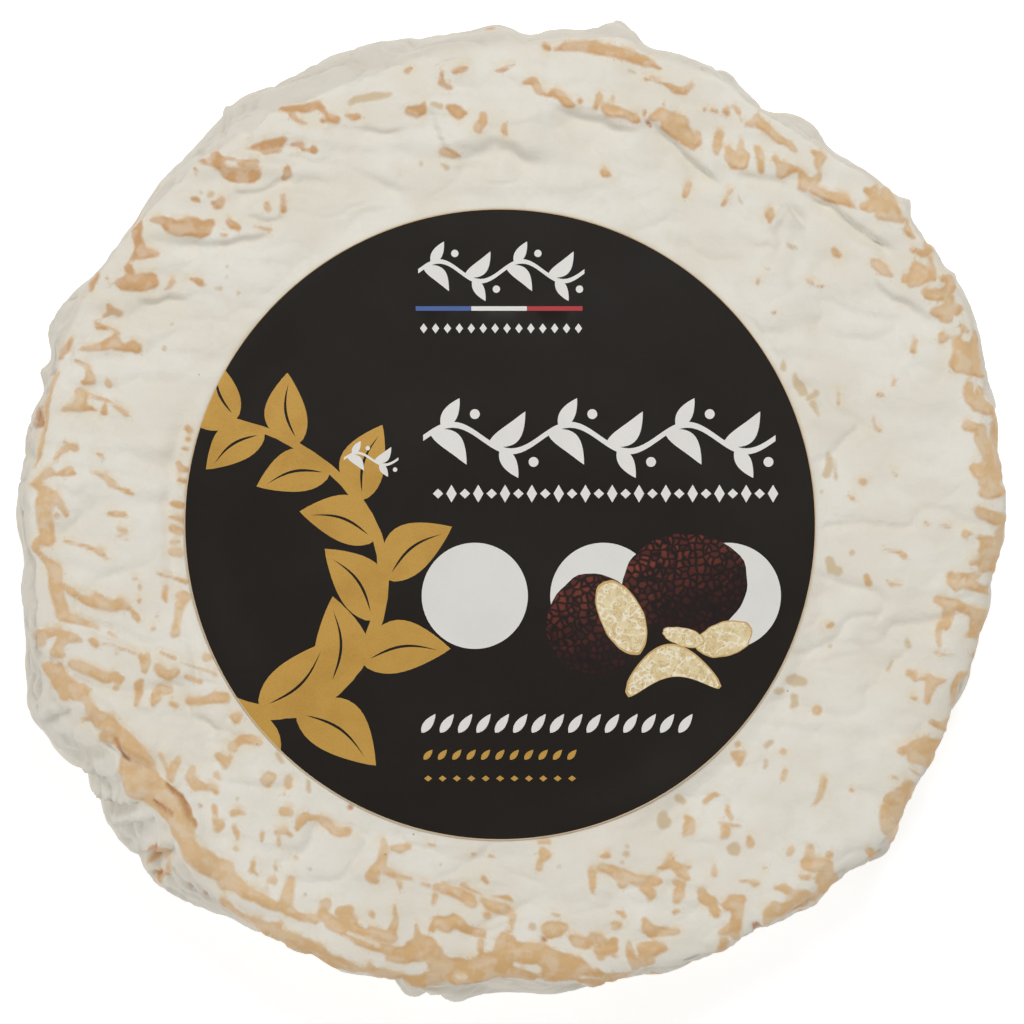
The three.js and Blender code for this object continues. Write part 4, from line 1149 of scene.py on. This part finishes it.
def bar(x, y, width, height):
    """An upright rectangle by its middle."""
    w, h = width / 2, height / 2
    return np.array([(x - w, y - h), (x + w, y - h), (x + w, y + h), (x - w, y + h)])


def lozenge(x, y, width, height):
    w, h = width / 2, height / 2
    return np.array([(x - w, y), (x, y - h), (x + w, y), (x, y + h)])


def leaf(base, tip, width, bend=0.0, count=14, point=0.9):
    """A leaf from base to tip, its midrib bowed sideways by bend. A lower point makes its ends rounder."""
    base, tip = np.array(base, float), np.array(tip, float)
    way = tip - base
    across = np.array([-way[1], way[0]]) / np.hypot(*way)
    t = np.linspace(0, 1, count)
    half = width / 2 * np.sin(math.pi * t**0.8) ** point
    spine = base + np.outer(t, way) + np.outer(bend * np.sin(math.pi * t), across)
    left = spine + across * half[:, None]
    right = spine - across * half[:, None]
    return np.vstack([left[:-1], right[:0:-1]])


def stem(points, start_width, end_width, count=26):
    """A tapering stem along a smooth curve through points."""
    knots = np.array(points, float)
    at = np.linspace(0, len(knots) - 1, count)
    spine = np.column_stack([smooth_curve(at, knots[:, axis]) for axis in (0, 1)])
    way = np.gradient(spine, axis=0)
    across = np.column_stack([-way[:, 1], way[:, 0]]) / np.linalg.norm(way, axis=1)[:, None]
    half = np.linspace(start_width, end_width, count)[:, None] / 2
    return np.vstack([spine + across * half, (spine - across * half)[::-1]])


def smooth_curve(at, values):
    """Values at whole numbers 0, 1, 2... read off at the places at, by a smooth curve."""
    slope = np.gradient(values)
    i = np.minimum(at.astype(int), len(values) - 2)
    t = at - i
    rise = values[i + 1] - values[i]
    bend = 3 * rise - 2 * slope[i] - slope[i + 1]
    twist = slope[i] + slope[i + 1] - 2 * rise
    return values[i] + t * (slope[i] + t * (bend + t * twist))


def lump(x, y, wide, tall, seed, rough=0.05, lean=0.0, count=56):
    """A rounded lump with a slightly knobbly outline."""
    turn = np.arange(count) * TAU / count
    random = np.random.default_rng(seed)
    wave = 0
    for order in (2, 3, 5, 9, 14):
        wave = wave + rough / order**0.6 * np.cos(order * turn + random.uniform(0, TAU))
    px, py = wide * (1 + wave) * np.cos(turn), tall * (1 + wave) * np.sin(turn)
    c, s = math.cos(math.radians(lean)), math.sin(math.radians(lean))
    return np.column_stack([x + px * c - py * s, y + px * s + py * c])


def branch(knots, leaf_count, leaf_length, leaf_width, start_width):
    """A curving stem with leaves on alternate sides, smaller towards the tip: (its solid shapes, midribs)."""
    knots = np.array(knots, float)
    at = np.linspace(0.25, len(knots) - 1.05, leaf_count)
    spine = np.column_stack([smooth_curve(at, knots[:, axis]) for axis in (0, 1)])
    ahead = np.column_stack([smooth_curve(at + 0.04, knots[:, axis]) for axis in (0, 1)]) - spine
    heading = np.arctan2(ahead[:, 1], ahead[:, 0])
    solids = [stem(knots, start_width, start_width * 0.35)]
    ribs = []
    for i, (base, course) in enumerate(zip(spine, heading)):
        side = 1 if i % 2 else -1
        turn = course + side * math.radians(52)
        size = 1 - 0.38 * i / leaf_count
        way = np.array([math.cos(turn), math.sin(turn)])
        reach = way * leaf_length * size
        bend = -side * leaf_length * size * 0.1
        solids.append(leaf(base, base + reach, leaf_width * size, bend))
        ribs.append(leaf(base + reach * 0.12, base + reach * 0.86, 0.55, bend * 0.9))
    end = knots[-1] - knots[-2]
    end = end / np.hypot(*end)
    solids.append(leaf(knots[-1] - end, knots[-1] + end * leaf_length * 0.6, leaf_width * 0.6))
    return solids, ribs


def garland(x, y, length, height, waves):
    """A level frieze: a waving stem with a leaf and a berry in each hollow."""
    t = np.linspace(0, 1, waves * 12 + 1)
    spine = np.column_stack([x + t * length, y + height * 0.2 * np.sin(TAU * waves * t / 2)])
    half = np.array([0, 0.045 * height])
    shapes = [np.vstack([spine + half, (spine - half)[::-1]])]
    step = length / waves
    for i in range(waves):
        up = 1 if i % 2 == 0 else -1
        base = np.array([x + step * (i + 0.12), y + up * height * 0.1])
        large_tip = base + [step * 0.62, -up * height * 0.5]
        small_base = base + [step * 0.2, up * height * 0.05]
        small_tip = base + [step * 0.5, up * height * 0.5]
        shapes.append(leaf(base, large_tip, step * 0.34, up * step * 0.12))
        shapes.append(leaf(small_base, small_tip, step * 0.26))
        shapes.append(disc(x + step * (i + 0.88), y + up * height * 0.36, height * 0.075, 16))
    return shapes


def printed_shapes():
    """Every printed shape as (ink, outline), in the order of printing, about the label's middle."""
    solids, ribs = branch(BRANCH_SPINE, 13, 21, 12, 3.4)
    shapes = [("gold_ink", outline) for outline in solids]
    shapes += [("paper", outline) for outline in ribs]
    shapes += [("white_ink", part) for frieze in GARLANDS for part in garland(*frieze)]
    for i, ink in enumerate(RULE_INKS):
        shapes.append((ink, bar(-11.4 + 11.2 * i, 43.5, 11.2, 0.9)))
    for i in range(14):
        shapes.append(("white_ink", lozenge(-15.4 + 2.4 * i, 39.5, 1.5, 2.0)))
    for i in range(26):
        shapes.append(("white_ink", lozenge(-12.5 + 2.7 * i, 6.2, 2.1, 3.6 if i % 2 else 2.0)))
    shapes += [("pale_ink", disc(x, y, 10.7, 72)) for x, y in PALE_DISCS]
    for i in range(15):
        shapes.append(("white_ink", leaf((-15.8 + 3.7 * i, -42), (-13 + 3.7 * i, -38.2), 1.8)))
    for i in range(11):
        shapes.append(("gold_ink", leaf((-15.4 + 2.9 * i, -47.4), (-13.6 + 2.9 * i, -45.4), 1.2)))
        shapes.append(("gold_ink", lozenge(-14.5 + 2.9 * i, -51.2, 1.6, 1.2)))
    return shapes + truffle_drawing()


def truffle_drawing():
    """Dark knobbly truffles with cut slices lying in front of them."""
    slices = [
        lump(24.5, -18.7, 4.3, 8.1, 12, 0.03, 24),
        lump(45.2, -23.1, 5.9, 3.5, 21, 0.05, 14),
        lump(37.0, -22.7, 4.5, 1.8, 33, 0.06, -14),
        leaf((25.2, -33.8), (44.6, -32.6), 6.8, 5.8, 36, 0.45),
    ]
    shapes = [
        ("truffle_skin", lump(37.3, -12.2, 12.5, 10.5, 5, 0.03)),
        ("truffle_skin", lump(19.2, -20.3, 10.1, 10.0, 8, 0.035, -20)),
    ]
    for outline in slices:
        middle = outline.mean(axis=0)
        shapes.append(("truffle_rim", outline))
        shapes.append(("truffle_flesh", middle + (outline - middle) * [0.95, 0.93]))
    return shapes


def paper_height(plan):
    """The height of the paper's upper face at points about the label's middle."""
    world = plan + LABEL_CENTRE
    height = TOP + seat_relief(world) + PAPER_CLEARANCE + PAPER_THICKNESS
    height += 0.05 * noise(plan_and_zero(world), 9, 111)
    radius = np.linalg.norm(plan, axis=1)
    degrees = np.degrees(np.arctan2(plan[:, 1], plan[:, 0]))
    rim = smooth(LABEL_RADIUS - 9, LABEL_RADIUS, radius)
    lifted = sum(lift * np.exp(-(turn_from(degrees, at) / half) ** 2) for at, half, lift in LIFTED_EDGES)
    return height + rim * lifted


def signed_area(outline):
    """The area inside an outline, positive where it runs anticlockwise."""
    x, y = outline.T
    return np.sum(x * np.roll(y, -1) - np.roll(x, -1) * y) / 2


def triangulate_label():
    """Flat triangles over the whole label, cut along every printed outline, with the ink of each triangle."""
    sheet = ("paper_edge", disc(0, 0, LABEL_RADIUS, LABEL_EDGE_POINTS))
    ground = ("paper", disc(0, 0, LABEL_RADIUS - BARE_MARGIN, LABEL_EDGE_POINTS))
    shapes = [sheet, ground, *printed_shapes()]
    points = []
    outlines = []
    for _, outline in shapes:
        if signed_area(outline) < 0:
            outline = outline[::-1]
        outlines.append(list(range(len(points), len(points) + len(outline))))
        points.extend(map(tuple, outline.tolist()))
    steps = np.arange(-LABEL_RADIUS, LABEL_RADIUS, DRAPE_SPACING)
    reach = LABEL_RADIUS - DRAPE_SPACING / 2
    points.extend((x, y) for x in steps for y in steps if math.hypot(x, y) < reach)
    flat, _, faces, _, _, sources = delaunay_2d_cdt([Vector(p) for p in points], [], outlines, 1, 1e-4)
    kept = [i for i, source in enumerate(sources) if 0 in source]
    inks = [shapes[max(sources[i])][0] if 1 in sources[i] else sheet[0] for i in kept]
    used = sorted({corner for i in kept for corner in faces[i]})
    place = {old: new for new, old in enumerate(used)}
    faces = [tuple(place[corner] for corner in faces[i]) for i in kept]
    return np.array([tuple(flat[i]) for i in used]), faces, inks


def edge_loop(faces):
    """The boundary of a flat triangulation, as ordered pairs of vertex numbers."""
    directed = {(face[i], face[(i + 1) % len(face)]) for face in faces for i in range(len(face))}
    return [(a, b) for a, b in directed if (b, a) not in directed]


def make_label(inks):
    flat, faces, face_inks = triangulate_label()
    top = paper_height(flat)
    plan = flat + LABEL_CENTRE
    count = len(flat)
    upper = np.column_stack([plan, top])
    lower = np.column_stack([plan, top - PAPER_THICKNESS])
    vertices = np.vstack([upper, lower]) * MM
    walls = [(a, a + count, b + count, b) for a, b in sorted(edge_loop(faces))]
    under = [tuple(i + count for i in reversed(face)) for face in faces]
    mesh = bpy.data.meshes.new("label")
    mesh.from_pydata(vertices.tolist(), [], [*map(tuple, faces), *under, *walls])
    names = list(inks)
    for material in inks.values():
        mesh.materials.append(material)
    ink_of_face = [*face_inks, *["paper_edge"] * (len(under) + len(walls))]
    mesh.polygons.foreach_set("material_index", [names.index(ink) for ink in ink_of_face])
    mesh.shade_smooth()
    mesh.set_sharp_from_angle(angle=math.radians(SHARP_ANGLE))
    return add_object("round_label", mesh)


def ink_material(name, colour, fleck, roughness, coat=0.0, metallic=0.0, grain=0.35, specular=0.5):
    """Printed paper: an even ink with a faint mottle and the tooth of the paper under it."""
    n = Nodes(name)
    place = n.millimetres()
    tooth = n.noise(place, grain, 2.0, 0.6)
    cloud = n.noise(place, 9, 3.0, 0.6)
    shade = n.product(n.total(n.step(tooth, 0.4, 0.75), n.step(cloud, 0.4, 0.7)), 0.5)
    printed = n.mix(shade, srgb(*colour), srgb(*fleck))
    rough = n.step(tooth, 0.3, 0.8, roughness - 0.02, roughness + 0.02)
    n.set(Base_Color=printed, Roughness=rough)
    n.set(Metallic=metallic, Coat_Weight=coat, Coat_Roughness=0.3, Specular_IOR_Level=specular)
    n.bump(n.total(n.product(tooth, 0.4), n.noise(place, 3.5)), 0.01)
    return n.material


def truffle_skin_material():
    """A drawn skin of small raised facets, dark in the gaps and warm on top."""
    n = Nodes("printed_truffle_skin")
    place = n.millimetres()
    warped = n.add("VectorMath", {0: place, 1: n.noise_vector(place, 2.2)}, operation="ADD").outputs[0]
    inputs = {"Vector": warped, "Scale": 0.68, "Randomness": 0.9}
    gaps = n.add("TexVoronoi", inputs, feature="DISTANCE_TO_EDGE")
    cells = n.add("TexVoronoi", inputs, feature="F1")
    facet = n.step(gaps.outputs["Distance"], 0.03, 0.3)
    lit_from = n.along(place, (-0.45, 1, 0))
    lit = n.step(n.total(lit_from, n.product(n.noise(place, 4.0), 8)), -34, -13)
    tone = n.add("SeparateColor", {"Color": cells.outputs["Color"]}).outputs[0]
    warm = n.mix(tone, srgb(84, 34, 26), srgb(132, 60, 44))
    warm = n.mix(lit, n.mix(tone, srgb(28, 15, 13), srgb(54, 20, 16)), warm)
    n.set(Base_Color=n.mix(facet, srgb(24, 13, 11), warm), Roughness=0.36, Specular_IOR_Level=0.28)
    n.bump(n.noise(place, 0.35), 0.01)
    return n.material


def truffle_flesh_material():
    """A drawn cut face: pale beige with a net of lighter and darker veins."""
    n = Nodes("printed_truffle_flesh")
    place = n.millimetres()
    veins = n.math("ABSOLUTE", n.less(n.noise(place, 2.6, 2.0, 0.6), 0.5))
    lines = n.math("ABSOLUTE", n.less(n.noise(place, 1.7, 3.0, 0.6), 0.47))
    flesh = n.mix(n.step(n.noise(place, 2.0), 0.35, 0.65), srgb(230, 213, 170), srgb(219, 196, 148))
    flesh = n.mix(n.step(lines, 0.022, 0.0), flesh, srgb(192, 156, 100))
    flesh = n.mix(n.step(veins, 0.04, 0.01, 0.0, 0.8), flesh, srgb(242, 235, 214))
    n.set(Base_Color=flesh, Roughness=0.45, Coat_Weight=0.1, Coat_Roughness=0.32)
    n.bump(n.noise(place, 0.35), 0.01)
    return n.material


def label_inks():
    """The label's materials by ink, in the order of their slots."""
    inks = {
        "paper": ink_material("black_printed_paper", (27, 22, 18), (30, 25, 20), 0.32, specular=0.28),
        "gold_ink": ink_material("gold_ink", (198, 153, 66), (180, 135, 50), 0.42, coat=0.1, metallic=0.2),
    }
    for ink, name, colour, fleck in PLAIN_INKS:
        inks[ink] = ink_material(name, colour, fleck, 0.45, coat=0.1)
    inks["truffle_skin"] = truffle_skin_material()
    inks["truffle_flesh"] = truffle_flesh_material()
    inks["paper_edge"] = ink_material("uncoated_paper_edge", (214, 188, 150), (196, 166, 126), 0.8, grain=0.2)
    return inks


# ---------------------------------------------------------------- the studio

PICTURE_WIDTH = 206.85  # millimetres across the picture, where the top and the side meet
PICTURE_LEVEL = 27.0
VIEW_CENTRE = (0.4, 0.0)
LENS = 600.0
SENSOR = 36.0
FLOOR_SIZE = 40000
# The pale room's brightness by height: (sine of the elevation, brightness). It is dim straight overhead,
# so that the label doesn't mirror it.
SKY = [(0.0, 0.5), (0.25, 0.36), (0.6, 0.5), (0.85, 0.6), (0.96, 0.14)]


def make_camera():
    camera = bpy.data.cameras.new("camera")
    camera.lens = LENS
    camera.sensor_width = SENSOR
    camera.clip_start = 0.01
    camera.clip_end = 200
    seen = add_object("camera", camera)
    height = PICTURE_LEVEL + PICTURE_WIDTH * LENS / SENSOR
    seen.location = (VIEW_CENTRE[0] * MM, VIEW_CENTRE[1] * MM, height * MM)
    bpy.context.scene.camera = seen


def make_light(name, place, width, height, power):
    """A soft box that faces the middle of the cheese. Sizes are in metres."""
    light = bpy.data.lights.new(name, "AREA")
    light.shape = "RECTANGLE"
    light.size = width
    light.size_y = height
    light.energy = power
    box = add_object(name, light)
    box.location = place
    box.rotation_euler = (Vector((0, 0, 0.03)) - box.location).to_track_quat("-Z", "Y").to_euler()
    box.visible_camera = False


def make_lights():
    make_light("key_soft_box", (0.1, 0.52, 1.12), 0.42, 0.3, 6.2)
    make_light("left_soft_box", (-0.85, -0.6, 0.78), 0.4, 0.5, 2.3)


def make_world():
    world = bpy.data.worlds.new("pale_room")
    world.use_nodes = True
    tree = world.node_tree
    background = tree.nodes["Background"]
    direction = tree.nodes.new("ShaderNodeTexCoord")
    height = tree.nodes.new("ShaderNodeSeparateXYZ")
    sky = tree.nodes.new("ShaderNodeValToRGB")
    tree.links.new(direction.outputs["Generated"], height.inputs[0])
    tree.links.new(height.outputs["Z"], sky.inputs["Fac"])
    tree.links.new(sky.outputs["Color"], background.inputs["Color"])
    while len(sky.color_ramp.elements) < len(SKY):
        sky.color_ramp.elements.new(0.5)
    for stop, (place, brightness) in zip(sky.color_ramp.elements, SKY):
        stop.position = place
        stop.color = (brightness, brightness, brightness, 1)
    bpy.context.scene.world = world


def make_floor():
    half = FLOOR_SIZE / 2 * MM
    mesh = bpy.data.meshes.new("floor")
    corners = [(-half, -half, 0), (half, -half, 0), (half, half, 0), (-half, half, 0)]
    mesh.from_pydata(corners, [], [(0, 1, 2, 3)])
    floor = add_object("floor", mesh)
    n = Nodes("pale_floor")
    cloud = n.noise(n.millimetres(), 400)
    n.set(Base_Color=n.mix(cloud, (0.68, 0.68, 0.68, 1), (0.7, 0.7, 0.7, 1)), Roughness=0.9)
    n.set(Emission_Color=(1, 1, 1, 1), Emission_Strength=0.6)
    mesh.materials.append(n.material)


# ---------------------------------------------------------------- the scene

make_camera()
make_lights()
make_world()
make_floor()
bpy.context.scene.view_settings.view_transform = "Standard"

cheese = make_cheese()
cheese.data.materials.append(rind_material())
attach(cheese, "root")
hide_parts("cheese_wheel")

label = make_label(label_inks())
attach(label, "root")
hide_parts("top_label")
